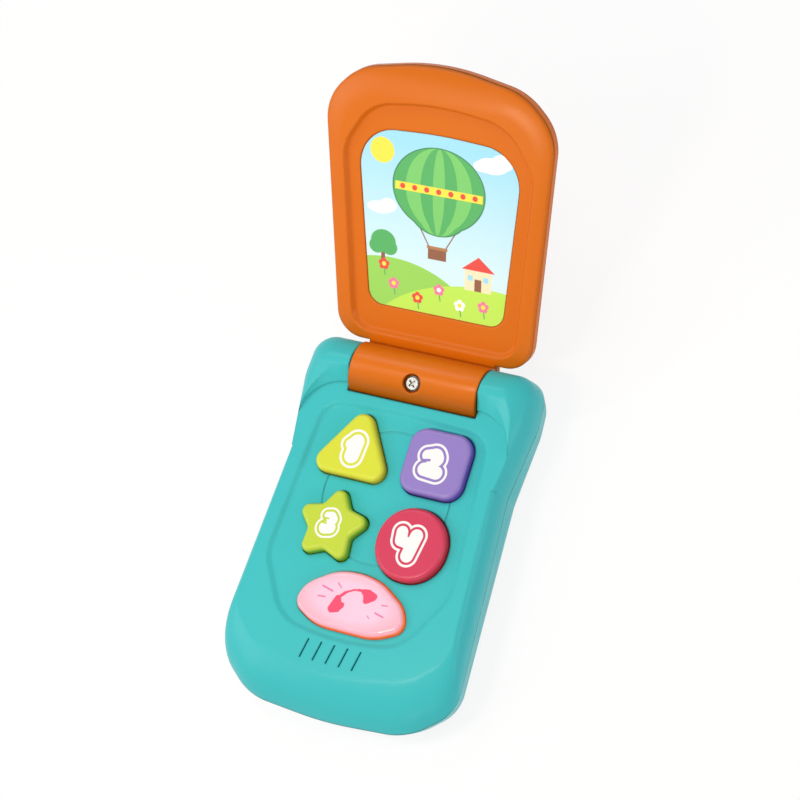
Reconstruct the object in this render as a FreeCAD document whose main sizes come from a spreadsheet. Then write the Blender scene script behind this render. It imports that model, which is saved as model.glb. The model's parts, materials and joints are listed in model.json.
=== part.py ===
import FreeCAD, Part

import math
import os
from types import SimpleNamespace

import Sketcher

# A toddler's flip phone in moulded plastic: a hand-sized base with five push keys, a loudspeaker,
# two AAA cells and a hinged lid that holds a picture. Millimetres, +Z up. The origin is the middle
# of the flat underside, +X is the phone's right as its keys are read, and +Y runs towards the hinge.

SIZES = {
    # Base body
    "body_length": 120.0,
    "rim_height": 21.5,
    "parting_height": 12.0,
    "wall": 1.8,
    "foot_half_width": 41.6,
    "foot_corner_back": 13.0,
    "foot_bow_half_width": 28.0,
    "foot_bow_back": 1.8,
    "foot_radius": 13.0,
    "waist_half_width": 37.2,
    "waist_from_rear": 38.5,
    "shoulder_half_width": 40.2,
    "shoulder_from_rear": 15.0,
    "rear_corner_radius": 14.0,
    "underside_round": 5.0,
    "base_foot_half_width": 39.6,
    "base_waist_half_width": 36.8,
    "base_shoulder_half_width": 38.6,
    "base_end_inset": 1.2,
    "rim_foot_half_width": 38.0,
    "rim_foot_radius": 14.5,
    "rim_bow_half_width": 27.0,
    "rim_bow_back": 4.9,
    "rim_waist_half_width": 34.9,
    "rim_shoulder_half_width": 38.2,
    "front_slope": 13.0,
    "rear_slope": 2.2,
    "slope_knee_height": 17.8,
    "slope_knee_share": 0.37,
    "side_knee_share": 0.15,
    # Keypad panel, sunk in the rim
    "panel_depth": 1.0,
    "panel_top_half_width": 29.5,
    "panel_foot_half_width": 33.2,
    "panel_top_back": 21.2,
    "panel_side_length": 53.0,
    "panel_length": 75.2,
    "panel_slope_run": 1.5,
    "panel_web": 1.6,
    "ring_radius": 21.3,
    "ring_x": 1.3,
    "ring_y": 11.5,
    "ring_breadth": 0.6,
    "ring_depth": 0.25,
    # Hinge
    "ear_radius": 9.0,
    "hinge_drop": 4.3,
    "slot_width": 45.5,
    "slot_clearance": 0.6,
    "ear_slope_sag": 0.76,
    "ear_round": 8.0,
    "seat_half_width": 37.0,
    "seat_corner_from_rear": 15.0,
    "seat_radius": 14.6,
    "seat_wall": 0.8,
    "seat_slope_run": 5.2,
    "barrel_end_gap": 0.45,
    "pin_radius": 1.5,
    "pin_length": 61.0,
    "pin_running_gap": 0.05,
    "bearing_radius": 3.8,
    "bearing_end_gap": 0.6,
    "washer_radius": 4.2,
    "washer_thickness": 0.33,
    # Lid
    "open_angle": 37.2,
    "lid_gap": 1.1,
    "lid_thickness": 6.4,
    "lid_split_depth": 3.6,
    "lid_start": 8.1,
    "lid_length": 102.8,
    "lid_hinge_half_width": 33.8,
    "lid_tip_half_width": 39.5,
    "lid_corner_back": 16.3,
    "lid_recess_depth": 1.6,
    "recess_slope_run": 1.0,
    "recess_start": 11.1,
    "recess_length": 78.4,
    "recess_hinge_half_width": 28.9,
    "recess_tip_half_width": 33.2,
    "label_start": 20.6,
    "label_length": 58.7,
    "label_hinge_half_width": 23.3,
    "label_tip_half_width": 28.5,
    "label_thickness": 0.3,
    "label_pocket_depth": 0.5,
    "label_edge_gap": 0.3,
    "lid_back_round": 3.0,
    "barrel_core_radius": 7.2,
    "barrel_core_depth": 16.0,
    "barrel_screw_angle": 72.0,
    # Keys
    "key_height": 2.1,
    "call_height": 1.3,
    "key_wall": 1.4,
    "key_round": 1.6,
    "key_edge_gap": 0.35,
    "key_flange": 0.5,
    "key_flange_thickness": 0.8,
    "key_flange_gap": 0.2,
    "key_upper_row": 25.4,
    "key_lower_row": -1.2,
    "triangle_x": -13.3,
    "triangle_half_base": 15.2,
    "triangle_base_drop": 10.3,
    "triangle_apex_rise": 14.2,
    "triangle_radius": 4.0,
    "square_x": 14.9,
    "square_side": 21.4,
    "square_radius": 5.6,
    "star_x": -13.2,
    "star_radius": 14.1,
    "star_waist_radius": 7.9,
    "star_tip_round": 3.0,
    "circle_x": 14.9,
    "circle_radius": 11.8,
    "call_x": 1.4,
    "call_y": -23.2,
    "call_half_width": 18.7,
    "call_half_height": 9.4,
    "plunger_radius": 2.0,
    # Rubber domes on the board
    "dome_height": 1.9,
    "dome_foot_radius": 4.4,
    "dome_top_radius": 2.2,
    # Board and what it carries
    "board_underside": 14.4,
    "board_thickness": 1.2,
    "board_half_width": 28.5,
    "board_front": -29.0,
    "board_rear": 37.0,
    "board_post_radius": 2.2,
    "board_screw_side_x": 25.0,
    "board_screw_front_y": -18.0,
    "board_screw_rear_x": -2.6,
    "board_screw_rear_y": 35.0,
    "chip_length": 9.0,
    "chip_width": 6.0,
    "chip_thickness": 1.5,
    "capacitor_radius": 2.0,
    "capacitor_height": 5.0,
    "capacitor_pitch": 6.0,
    "resistor_length": 3.0,
    "resistor_width": 1.4,
    "resistor_thickness": 0.8,
    "resistor_pitch": 5.0,
    "led_x": 9.0,
    "led_radius": 1.4,
    "led_height": 1.7,
    # Loudspeaker
    "speaker_y": -43.8,
    "speaker_radius": 8.6,
    "speaker_top": 15.2,
    "speaker_flange": 1.2,
    "speaker_depth": 5.0,
    "speaker_back_radius": 6.0,
    "magnet_radius": 5.0,
    "magnet_height": 2.6,
    "gasket_thickness": 0.8,
    "gasket_inner_radius": 7.2,
    "slot_count": 5,
    "slot_pitch": 4.6,
    "slot_breadth": 0.55,
    "slot_run": 6.4,
    "slot_lean": 1.3,
    "slot_rear_y": -37.1,
    # Battery bay
    "cell_radius": 5.25,
    "cell_length": 43.7,
    "cell_nub_radius": 1.9,
    "cell_nub_height": 0.8,
    "cell_pitch": 11.2,
    "bay_y": 6.0,
    "bay_half_length": 26.2,
    "bay_side_gap": 0.6,
    "bay_wall": 1.2,
    "bay_roof": 1.0,
    "cell_floor_gap": 0.4,
    "contact_thickness": 0.4,
    "contact_side": 8.0,
    "spring_wire_radius": 0.35,
    "spring_radius": 2.6,
    "door_thickness": 1.6,
    "door_inset": 0.3,
    "door_edge_gap": 0.3,
    "door_half_width": 28.2,
    "door_front_lap": 1.6,
    "door_rear_lap": 8.0,
    "door_screw_back": 4.0,
    # Switch
    "switch_y": 34.0,
    "switch_travel": 4.0,
    "switch_pocket_half_width": 8.0,
    "switch_pocket_half_height": 3.2,
    "switch_pocket_depth": 1.5,
    "knob_length": 7.0,
    "knob_width": 4.8,
    "knob_thickness": 0.9,
    "knob_inset": 0.3,
    "stem_length": 2.4,
    "stem_width": 2.0,
    "switch_gap": 0.3,
    "switch_body_height": 3.6,
    "switch_body_length": 9.0,
    "switch_body_width": 4.4,
    "switch_board_half_length": 10.5,
    "switch_board_half_width": 5.0,
    "switch_board_thickness": 1.0,
    # Screws
    "screw_radius": 1.15,
    "screw_head_radius": 2.2,
    "screw_head_height": 1.5,
    "screw_hole_gap": 0.03,
    "screw_head_gap": 0.3,
    "boss_radius": 3.4,
    "front_boss_radius": 2.7,
    "housing_screw_sink": 6.0,
    "housing_screw_length": 10.0,
    "housing_rear_x": 32.3,
    "housing_rear_y": 32.0,
    "housing_front_x": 29.5,
    "housing_front_y": -38.0,
    "small_screw_radius": 0.8,
    "small_head_radius": 1.6,
    "small_head_height": 0.9,
    "small_screw_length": 3.2,
    "lid_screw_length": 2.6,
    "lid_screw_x": 19.0,
    "lid_screw_near": 31.0,
    "lid_screw_far": 70.0,
}


class Size:
    """A length from the sheet, or a sum made of such lengths, as a number and as its formula."""

    def __init__(self, text, number):
        self.text = text
        self.number = number

    def __float__(self):
        return float(self.number)

    def __neg__(self):
        return 0 - self

    def __add__(self, other):
        return joined(self, "+", other, float(self) + float(other))

    def __radd__(self, other):
        return joined(other, "+", self, float(other) + float(self))

    def __sub__(self, other):
        return joined(self, "-", other, float(self) - float(other))

    def __rsub__(self, other):
        return joined(other, "-", self, float(other) - float(self))

    def __mul__(self, other):
        return joined(self, "*", other, float(self) * float(other))

    def __rmul__(self, other):
        return joined(other, "*", self, float(other) * float(self))

    def __truediv__(self, other):
        return joined(self, "/", other, float(self) / float(other))


def formula(size):
    return size.text if isinstance(size, Size) else repr(float(size))


def joined(left, sign, right, number):
    return Size(f"({formula(left)} {sign} {formula(right)})", number)


doc = FreeCAD.newDocument("ToyFlipPhone")
sheet = doc.addObject("Spreadsheet::Sheet", "Sizes")
for row, (name, number) in enumerate(SIZES.items(), start=1):
    sheet.set(f"A{row}", name)
    sheet.set(f"B{row}", str(number))
    sheet.setAlias(f"B{row}", name)
doc.recompute()
size = SimpleNamespace(**{name: Size("Sizes." + name, float(sheet.get(name))) for name in SIZES})


# Building blocks: each makes one object of the document and binds its sizes to the sheet.


def bind(item, prop, length):
    if isinstance(length, Size) or "." in prop:
        item.setExpression(prop, formula(length))
    else:
        setattr(item, prop, float(length))


def place(item, x=0.0, y=0.0, z=0.0, turn=None):
    if turn:
        item.Placement = FreeCAD.Placement(FreeCAD.Vector(), turn)
    for axis, length in zip("xyz", (x, y, z)):
        bind(item, f"Placement.Base.{axis}", length)
    return item


def block(name, x, y, z):
    """A box between two x, two y and two z values."""
    item = doc.addObject("Part::Box", name)
    for side, (low, high) in zip(("Length", "Width", "Height"), (x, y, z)):
        bind(item, side, high - low)
    return place(item, x[0], y[0], z[0])


def rod(name, radius, low, high, x=0.0, y=0.0):
    """A cylinder that stands between two heights."""
    item = doc.addObject("Part::Cylinder", name)
    bind(item, "Radius", radius)
    bind(item, "Height", high - low)
    return place(item, x, y, low)


ALONG_X = FreeCAD.Rotation(FreeCAD.Vector(1, 1, 1), 120)


def axle(name, radius, low, high, y, z):
    """A cylinder that lies along X between two x values."""
    item = doc.addObject("Part::Cylinder", name)
    bind(item, "Radius", radius)
    bind(item, "Height", high - low)
    return place(item, low, y, z, ALONG_X)


def outline(name, curves, height=0.0):
    item = doc.addObject("Sketcher::SketchObject", name)
    item.addGeometry(curves, False)
    return place(item, 0.0, 0.0, height)


def prism(name, curves, low, high):
    """An upright prism of a plan outline between two heights."""
    item = doc.addObject("Part::Extrusion", name)
    item.Base = outline(name + "_outline", curves, low)
    item.DirMode = "Normal"
    item.Solid = True
    bind(item, "LengthFwd", high - low)
    return item


def side_prism(name, curves, low, high):
    """A prism along X of an outline drawn in Y and Z."""
    item = doc.addObject("Part::Extrusion", name)
    sketch = doc.addObject("Sketcher::SketchObject", name + "_outline")
    sketch.addGeometry(curves, False)
    item.Base = place(sketch, low, 0.0, 0.0, ALONG_X)
    item.DirMode = "Normal"
    item.Solid = True
    bind(item, "LengthFwd", high - low)
    return item


def loft(name, levels, ruled=False):
    """A solid through plan outlines, each with its height: smooth, or straight from level to level."""
    item = doc.addObject("Part::Loft", name)
    item.Sections = [
        outline(f"{name}_level_{n}", curves, height) for n, (curves, height) in enumerate(levels, 1)
    ]
    item.Solid = True
    item.Ruled = ruled
    return item


def fuse(name, items):
    item = doc.addObject("Part::MultiFuse", name)
    item.Shapes = items
    item.Refine = True
    return item


def cut(name, base, *tools):
    item = doc.addObject("Part::Cut", name)
    item.Base = base
    item.Tool = tools[0] if len(tools) == 1 else fuse(name + "_tools", list(tools))
    item.Refine = True
    return item


def common(name, *items):
    item = doc.addObject("Part::MultiCommon", name)
    item.Shapes = list(items)
    return item


def rounded_top(name, base, radius):
    """The base with every edge that lies in its topmost plane rounded."""
    doc.recompute()
    item = doc.addObject("Part::Fillet", name)
    item.Base = base
    top = base.Shape.BoundBox.ZMax
    item.Edges = [
        (number, float(radius), float(radius))
        for number, edge in enumerate(base.Shape.Edges, start=1)
        if edge.BoundBox.ZMin > top - 0.001
    ]
    return item


def turned(name, profile):
    """A lathe-turned body: a closed profile of (radius, height) points, turned about Z."""
    body = doc.addObject("PartDesign::Body", name)
    sketch = body.newObject("Sketcher::SketchObject", name + "_profile")
    plane = next(item for item in body.Origin.OriginFeatures if item.Role == "XZ_Plane")
    sketch.AttachmentSupport = [(plane, "")]
    sketch.MapMode = "FlatFace"
    corners = [FreeCAD.Vector(float(radius), float(height), 0) for radius, height in profile]
    count = len(corners)
    for n in range(count):
        sketch.addGeometry(Part.LineSegment(corners[n], corners[(n + 1) % count]), False)
    for n in range(count):
        sketch.addConstraint(Sketcher.Constraint("Coincident", n, 2, (n + 1) % count, 1))
    for n, (radius, height) in enumerate(profile):
        for kind, length in (("DistanceX", radius), ("DistanceY", height)):
            if float(length) == 0.0:
                axis = -2 if kind == "DistanceX" else -1
                sketch.addConstraint(Sketcher.Constraint("PointOnObject", n, 1, axis))
            else:
                number = sketch.addConstraint(Sketcher.Constraint(kind, -1, 1, n, 1, float(length)))
                bind_constraint(sketch, number, length)
    turn = body.newObject("PartDesign::Revolution", name + "_turn")
    turn.Profile = sketch
    turn.ReferenceAxis = (sketch, ["V_Axis"])
    turn.Angle = 360.0
    return body


def bind_constraint(sketch, number, length):
    if isinstance(length, Size):
        sketch.setExpression(f"Constraints[{number}]", length.text)


def several(name, pattern, places):
    """Copies of one piece at several places, kept as separate solids in one node."""
    copies = []
    for n, (x, y, z) in enumerate(places, start=1):
        link = doc.addObject("Part::Feature", f"{name}_{n}")
        link.Shape = pattern.Shape
        link.Placement = FreeCAD.Placement(
            FreeCAD.Vector(float(x), float(y), float(z)), pattern.Placement.Rotation
        )
        copies.append(link)
    item = doc.addObject("Part::Compound", name)
    item.Links = copies
    return item


# Outlines: corner points with a radius each, joined by straight runs and tangent arcs.


def rounded(corners):
    """Line and arc curves round a closed polygon of (x, y, radius) corners."""
    points = [FreeCAD.Vector(float(x), float(y), 0) for x, y, radius in corners]
    count = len(points)
    arcs = []
    for n in range(count):
        before = points[n - 1] - points[n]
        after = points[(n + 1) % count] - points[n]
        half_turn = (math.pi - before.getAngle(after)) / 2
        reach = 0.48 * min(before.Length, after.Length)
        radius = min(float(corners[n][2]), reach / math.tan(half_turn))
        trim = radius * math.tan(half_turn)
        before.normalize()
        after.normalize()
        inward = (before + after).normalize()
        start = points[n] + before * trim
        end = points[n] + after * trim
        middle = points[n] + inward * (radius / math.cos(half_turn) - radius)
        arcs.append((start, middle, end))
    curves = []
    for n in range(count):
        start, middle, end = arcs[n]
        curves.append(Part.Arc(start, middle, end))
        curves.append(Part.LineSegment(end, arcs[(n + 1) % count][0]))
    return curves


def both_sides(half):
    """A right-hand run of corners, first and last ones on the middle line or not, with its mirror."""
    left = [(-float(x), y, radius) for x, y, radius in reversed(half) if float(x) > 0.001]
    return half + left


def grown(corners, distance):
    """The polygon with every side moved outwards, or inwards where the distance is negative."""
    count = len(corners)
    points = [FreeCAD.Vector(float(x), float(y), 0) for x, y, radius in corners]
    moved = []
    for n in range(count):
        before = (points[n] - points[n - 1]).normalize()
        after = (points[(n + 1) % count] - points[n]).normalize()
        out_before = FreeCAD.Vector(before.y, -before.x, 0)
        out_after = FreeCAD.Vector(after.y, -after.x, 0)
        bisector = out_before + out_after
        step = bisector * (2 * float(distance) / bisector.dot(bisector))
        inner_corner = before.cross(after).z < 0
        change = -float(distance) if inner_corner else float(distance)
        radius = max(float(corners[n][2]) + change, 0.3)
        moved.append((points[n].x + step.x, points[n].y + step.y, radius))
    return moved


def blended(low, high, across, along):
    """The polygon part of the way from one to another, with one share across X and one along Y."""
    shares = (float(across), float(along), float(along))
    return [
        tuple(float(a) + share * (float(b) - float(a)) for a, b, share in zip(corner, other, shares))
        for corner, other in zip(low, high)
    ]


FRONT = size.body_length / -2
REAR = size.body_length / 2
HINGE_Y = REAR - size.ear_radius
HINGE_Z = size.rim_height - size.hinge_drop
SLOT_X = size.slot_width / 2
PANEL_Z = size.rim_height - size.panel_depth
PANEL_UNDER = PANEL_Z - size.panel_web
WAIST_Y = REAR - size.waist_from_rear
SHOULDER_Y = REAR - size.shoulder_from_rear

BOW_RADIUS = 120.0
SOFT_RADIUS = 22.0
WAIST_RADIUS = 2.5
BOW_RISE = 0.4
EAR_TAPER = 1.0

parting_outline = both_sides([
    (0.0, FRONT - BOW_RISE, BOW_RADIUS),
    (size.foot_bow_half_width, FRONT + size.foot_bow_back, SOFT_RADIUS),
    (size.foot_half_width, FRONT + size.foot_corner_back, size.foot_radius),
    (size.waist_half_width, WAIST_Y, WAIST_RADIUS),
    (size.shoulder_half_width, SHOULDER_Y, SOFT_RADIUS),
    (size.shoulder_half_width - EAR_TAPER, REAR, size.rear_corner_radius),
])
BASE_FRONT = FRONT + size.base_end_inset
base_outline = both_sides([
    (0.0, BASE_FRONT - BOW_RISE, BOW_RADIUS),
    (size.foot_bow_half_width - size.base_end_inset, BASE_FRONT + size.foot_bow_back, SOFT_RADIUS),
    (size.base_foot_half_width, BASE_FRONT + size.foot_corner_back, size.foot_radius),
    (size.base_waist_half_width, WAIST_Y, WAIST_RADIUS),
    (size.base_shoulder_half_width, SHOULDER_Y, SOFT_RADIUS),
    (size.base_shoulder_half_width - EAR_TAPER, REAR - size.base_end_inset, size.rear_corner_radius),
])
RIM_FRONT = FRONT + size.front_slope
rim_outline = both_sides([
    (0.0, RIM_FRONT - BOW_RISE, BOW_RADIUS / 2),
    (size.rim_bow_half_width, RIM_FRONT + size.rim_bow_back, SOFT_RADIUS),
    (size.rim_foot_half_width, RIM_FRONT + size.foot_corner_back * 1.15, size.rim_foot_radius),
    (size.rim_waist_half_width, WAIST_Y, WAIST_RADIUS),
    (size.rim_shoulder_half_width, SHOULDER_Y, SOFT_RADIUS),
    (size.rim_shoulder_half_width - EAR_TAPER, REAR - size.rear_slope, size.rear_corner_radius),
])
knee_outline = blended(parting_outline, rim_outline, size.side_knee_share, size.slope_knee_share)

panel_outline = both_sides([
    (0.0, REAR - size.panel_top_back - size.panel_length - 0.4, 90.0),
    (size.panel_foot_half_width * 0.65, REAR - size.panel_top_back - size.panel_length + 2.4, 16.0),
    (size.panel_foot_half_width, REAR - size.panel_top_back - size.panel_side_length, 14.0),
    (size.panel_top_half_width, REAR - size.panel_top_back - 0.4, 8.0),
    (0.0, REAR - size.panel_top_back + 0.8, 120.0),
])

lid_outline = both_sides([
    (size.lid_hinge_half_width, size.lid_start, 9.0),
    (size.lid_tip_half_width, size.lid_length - size.lid_corner_back, 17.0),
    (size.lid_tip_half_width * 0.72, size.lid_length - size.lid_corner_back * 0.31, 20.0),
    (0.0, size.lid_length + 0.4, 100.0),
])
recess_outline = both_sides([
    (size.recess_hinge_half_width, size.recess_start, 7.0),
    (size.recess_tip_half_width, size.recess_start + size.recess_length * 0.78, 14.0),
    (size.recess_tip_half_width * 0.72, size.recess_start + size.recess_length * 0.97, 16.0),
    (0.0, size.recess_start + size.recess_length + 0.8, 90.0),
])
label_outline = both_sides([
    (size.label_hinge_half_width, size.label_start, 5.0),
    (size.label_tip_half_width, size.label_start + size.label_length - 1.0, 12.5),
    (0.0, size.label_start + size.label_length + 0.6, 150.0),
])

TRIANGLE_BASE_Y = size.key_upper_row - size.triangle_base_drop
triangle_outline = [
    (size.triangle_x - size.triangle_half_base, TRIANGLE_BASE_Y, size.triangle_radius),
    (size.triangle_x + size.triangle_half_base, TRIANGLE_BASE_Y, size.triangle_radius),
    (size.triangle_x, size.key_upper_row + size.triangle_apex_rise, size.triangle_radius),
]
SQUARE_HALF = size.square_side / 2
square_outline = [
    (size.square_x + across * SQUARE_HALF, size.key_upper_row + up * SQUARE_HALF, size.square_radius)
    for across, up in ((-1, -1), (1, -1), (1, 1), (-1, 1))
]
star_outline = []
for point in range(10):
    tip = point % 2 == 0
    angle = math.radians(90 + 36 * point)
    reach = size.star_radius if tip else size.star_waist_radius
    star_outline.append((
        size.star_x + reach * math.cos(angle),
        size.key_lower_row + reach * math.sin(angle),
        size.star_tip_round if tip else size.star_tip_round * 0.8,
    ))
circle_outline = [
    (
        size.circle_x + size.circle_radius * math.sqrt(2) * math.cos(math.radians(45 + 90 * corner)),
        size.key_lower_row + size.circle_radius * math.sqrt(2) * math.sin(math.radians(45 + 90 * corner)),
        size.circle_radius,
    )
    for corner in range(4)
]
call_outline = [
    (size.call_x + across * size.call_half_width, size.call_y + up * size.call_half_height, radius)
    for across, up, radius in (
        (-0.57, -0.99, 18.0),
        (0.55, -0.99, 18.0),
        (1.05, -0.5, 6.5),
        (0.93, 0.25, 12.0),
        (0.42, 0.9, 16.0),
        (-0.02, 1.06, 24.0),
        (-0.45, 0.93, 16.0),
        (-0.93, 0.28, 12.0),
        (-1.04, -0.45, 6.5),
    )
]


KEYS = [
    ("key_1_triangle", triangle_outline, size.key_height, size.triangle_x, size.key_upper_row - 2.0),
    ("key_2_square", square_outline, size.key_height, size.square_x, size.key_upper_row),
    ("key_3_star", star_outline, size.key_height, size.star_x, size.key_lower_row),
    ("key_4_circle", circle_outline, size.key_height, size.circle_x, size.key_lower_row),
    ("call_button", call_outline, size.call_height, size.call_x, size.call_y),
]
BOARD_TOP = size.board_underside + size.board_thickness
FLANGE_TOP = PANEL_UNDER - size.key_flange_gap
FLANGE_LOW = FLANGE_TOP - size.key_flange_thickness
DOME_TOP = BOARD_TOP + size.dome_height

parts = {}

# Front shell: the keypad half of the housing, with the two ears that carry the hinge.
front_skin = loft("front_skin", [
    (rounded(parting_outline), size.parting_height),
    (rounded(knee_outline), size.slope_knee_height),
    (rounded(rim_outline), size.rim_height),
])
front_hollow = loft("front_hollow", [
    (rounded(grown(parting_outline, -size.wall)), size.parting_height),
    (rounded(grown(knee_outline, -size.wall)), size.slope_knee_height - size.wall),
    (rounded(grown(rim_outline, -size.wall)), PANEL_UNDER),
])
hinge_y = float(HINGE_Y)
hinge_z = float(HINGE_Z)
ear_radius = float(size.ear_radius)
rim = float(size.rim_height)
slope_angle = math.radians(107)
slope_start = FreeCAD.Vector(
    hinge_y + ear_radius * math.cos(slope_angle), hinge_z + ear_radius * math.sin(slope_angle), 0
)
ear_foot = FreeCAD.Vector(float(WAIST_Y), rim, 0)
ear_middle = (slope_start + ear_foot) * 0.5 - FreeCAD.Vector(0, float(size.ear_slope_sag), 0)
ear_base_front = FreeCAD.Vector(ear_foot.x, float(size.parting_height), 0)
ear_base_rear = FreeCAD.Vector(float(REAR), float(size.parting_height), 0)
ear_back = FreeCAD.Vector(hinge_y + ear_radius, hinge_z, 0)
ear_top = FreeCAD.Vector(hinge_y + ear_radius * 0.7071, hinge_z + ear_radius * 0.7071, 0)
ear_side = side_prism("ear_side", [
    Part.Arc(ear_back, ear_top, slope_start),
    Part.Arc(slope_start, ear_middle, ear_foot),
    Part.LineSegment(ear_foot, ear_base_front),
    Part.LineSegment(ear_base_front, ear_base_rear),
    Part.LineSegment(ear_base_rear, ear_back),
], -size.shoulder_half_width, size.shoulder_half_width)
EAR_RISE = HINGE_Z + size.ear_radius + 0.3 - size.parting_height
ear_plan = loft("ear_plan", [
    (rounded(grown(parting_outline, -size.ear_round * share)), size.parting_height + EAR_RISE * rise)
    for rise, share in ((0.0, 0.0), (0.35, 0.05), (0.66, 0.2), (0.84, 0.5), (1.0, 1.0))
])
SEAT_Y = REAR - size.seat_corner_from_rear


def seat_plan(rear):
    return rounded([
        (-size.seat_half_width, FRONT - 5.0, 1.0),
        (size.seat_half_width, FRONT - 5.0, 1.0),
        (size.seat_half_width, rear, size.seat_radius),
        (-size.seat_half_width, rear, size.seat_radius),
    ])


SEAT_WALL_TOP = size.rim_height + size.seat_wall
SEAT_CROWN = HINGE_Z + size.ear_radius + 0.2
lid_seat = fuse("lid_seat", [
    prism("lid_seat_wall", seat_plan(SEAT_Y), size.rim_height, SEAT_WALL_TOP),
    loft("lid_seat_slope", [
        (seat_plan(SEAT_Y), SEAT_WALL_TOP),
        (seat_plan(SEAT_Y + size.seat_slope_run), SEAT_CROWN),
    ], ruled=True),
])
ears = cut("ears", common("ear_blocks", ear_side, ear_plan), lid_seat)

SLOT_RADIUS = size.ear_radius + size.slot_clearance
slot_front_wall = block(
    "slot_front_wall",
    (-SLOT_X - size.wall, SLOT_X + size.wall),
    (HINGE_Y - SLOT_RADIUS - size.wall, HINGE_Y - size.wall),
    (size.parting_height, PANEL_Z),
)
slot_end_walls = [
    block(
        f"slot_end_wall_{side}",
        (low, low + size.wall),
        (HINGE_Y - SLOT_RADIUS, REAR - size.rear_slope - size.wall),
        (size.parting_height, PANEL_Z),
    )
    for side, low in (("left", -SLOT_X - size.wall), ("right", SLOT_X))
]
PIN_END = size.pin_length / 2
BEARING_LENGTH = PIN_END + size.bearing_end_gap + size.wall - SLOT_X
bearings = [
    axle(f"bearing_{side}", size.bearing_radius, low, low + BEARING_LENGTH, HINGE_Y, HINGE_Z)
    for side, low in (("left", -PIN_END - size.bearing_end_gap - size.wall), ("right", SLOT_X))
]
HOUSING_PLACES = [
    (side * x, y)
    for x, y in ((size.housing_rear_x, size.housing_rear_y), (size.housing_front_x, size.housing_front_y))
    for side in (-1, 1)
]
front_bosses = [
    rod(f"front_boss_{n}", size.front_boss_radius, size.parting_height + 0.4, PANEL_Z, x, y)
    for n, (x, y) in enumerate(HOUSING_PLACES, 1)
]
BOARD_PLACES = [
    (-size.board_screw_side_x, size.board_screw_front_y),
    (size.board_screw_side_x, size.board_screw_front_y),
    (size.board_screw_rear_x, size.board_screw_rear_y),
]
board_posts = [
    rod(f"board_post_{n}", size.board_post_radius, BOARD_TOP, PANEL_Z - 0.5, x, y)
    for n, (x, y) in enumerate(BOARD_PLACES, 1)
]
SPEAKER_SEAT = size.speaker_top + size.gasket_thickness
speaker_collar = cut(
    "speaker_collar",
    rod("speaker_collar_outside", size.speaker_radius, SPEAKER_SEAT, PANEL_Z, 0.0, size.speaker_y),
    rod(
        "speaker_collar_inside",
        size.gasket_inner_radius, SPEAKER_SEAT - 1.0, PANEL_Z + 1.0, 0.0, size.speaker_y,
    ),
)
front_ribs = common(
    "front_ribs",
    front_skin,
    fuse("front_rib_blocks", [
        slot_front_wall, *slot_end_walls, *bearings, *front_bosses, *board_posts, speaker_collar,
    ]),
)
front_block = fuse("front_block", [front_skin, ears])
front_walls = fuse("front_walls", [cut("front_tray", front_block, front_hollow), front_ribs])

slot_barrel = axle("slot_barrel", SLOT_RADIUS, -SLOT_X, SLOT_X, HINGE_Y, HINGE_Z)
slot_rear = block(
    "slot_rear", (-SLOT_X, SLOT_X), (HINGE_Y, REAR + 2.0), (HINGE_Z - SLOT_RADIUS, HINGE_Z + 20.0)
)
slot_upper = block(
    "slot_upper",
    (-SLOT_X, SLOT_X),
    (HINGE_Y - SLOT_RADIUS, HINGE_Y),
    (HINGE_Z + size.hinge_drop, HINGE_Z + 20.0),
)
panel_recess = fuse("panel_recess", [
    loft("panel_slope", [
        (rounded(grown(panel_outline, -size.panel_slope_run)), PANEL_Z),
        (rounded(panel_outline), size.rim_height),
    ], ruled=True),
    prism("panel_clearance", rounded(panel_outline), size.rim_height, size.rim_height + 1.0),
])
key_holes = [
    prism(f"hole_{name}", rounded(grown(corners, size.key_edge_gap)), PANEL_UNDER - 1.0, PANEL_Z + 1.0)
    for name, corners, height, x, y in KEYS
]


def slot_outline(middle):
    """A narrow slot with rounded ends that leans to the left towards the front."""
    near = size.slot_rear_y - size.slot_run
    side = size.slot_breadth / 2
    return rounded([
        (middle - size.slot_lean - side, near, side * 0.8),
        (middle - size.slot_lean + side, near, side * 0.8),
        (middle + side, size.slot_rear_y, side * 0.8),
        (middle - side, size.slot_rear_y, side * 0.8),
    ])


slot_reach = int(size.slot_count.number) // 2
speaker_slots = [
    prism(f"speaker_slot_{n}", slot_outline(n * size.slot_pitch), PANEL_UNDER - 1.5, size.rim_height + 1.0)
    for n in range(-slot_reach, slot_reach + 1)
]
pin_bore = axle("pin_bore", size.pin_radius + size.pin_running_gap, -PIN_END - size.bearing_end_gap,
                PIN_END + size.bearing_end_gap, HINGE_Y, HINGE_Z)
pin_way = block(
    "pin_way",
    (-PIN_END - size.bearing_end_gap, PIN_END + size.bearing_end_gap),
    (HINGE_Y - size.pin_radius - size.pin_running_gap, HINGE_Y + size.pin_radius + size.pin_running_gap),
    (size.parting_height - 1.0, HINGE_Z),
)
front_pilots = [
    rod(f"front_pilot_{n}", size.screw_radius + size.screw_hole_gap, size.parting_height,
        size.housing_screw_sink + size.housing_screw_length + 0.5, x, y)
    for n, (x, y) in enumerate(HOUSING_PLACES, 1)
]
board_pilots = [
    rod(f"board_pilot_{n}", size.small_screw_radius + size.screw_hole_gap, BOARD_TOP - 0.5,
        BOARD_TOP + size.small_screw_length - size.board_thickness + 0.3, x, y)
    for n, (x, y) in enumerate(BOARD_PLACES, 1)
]
RING_OUTER = size.ring_radius + size.ring_breadth
key_ring = cut(
    "key_ring",
    rod("key_ring_outside", RING_OUTER, PANEL_Z - size.ring_depth, PANEL_Z + 0.5, size.ring_x, size.ring_y),
    rod("key_ring_inside", size.ring_radius, PANEL_Z - 1.0, PANEL_Z + 1.0, size.ring_x, size.ring_y),
)
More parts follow.
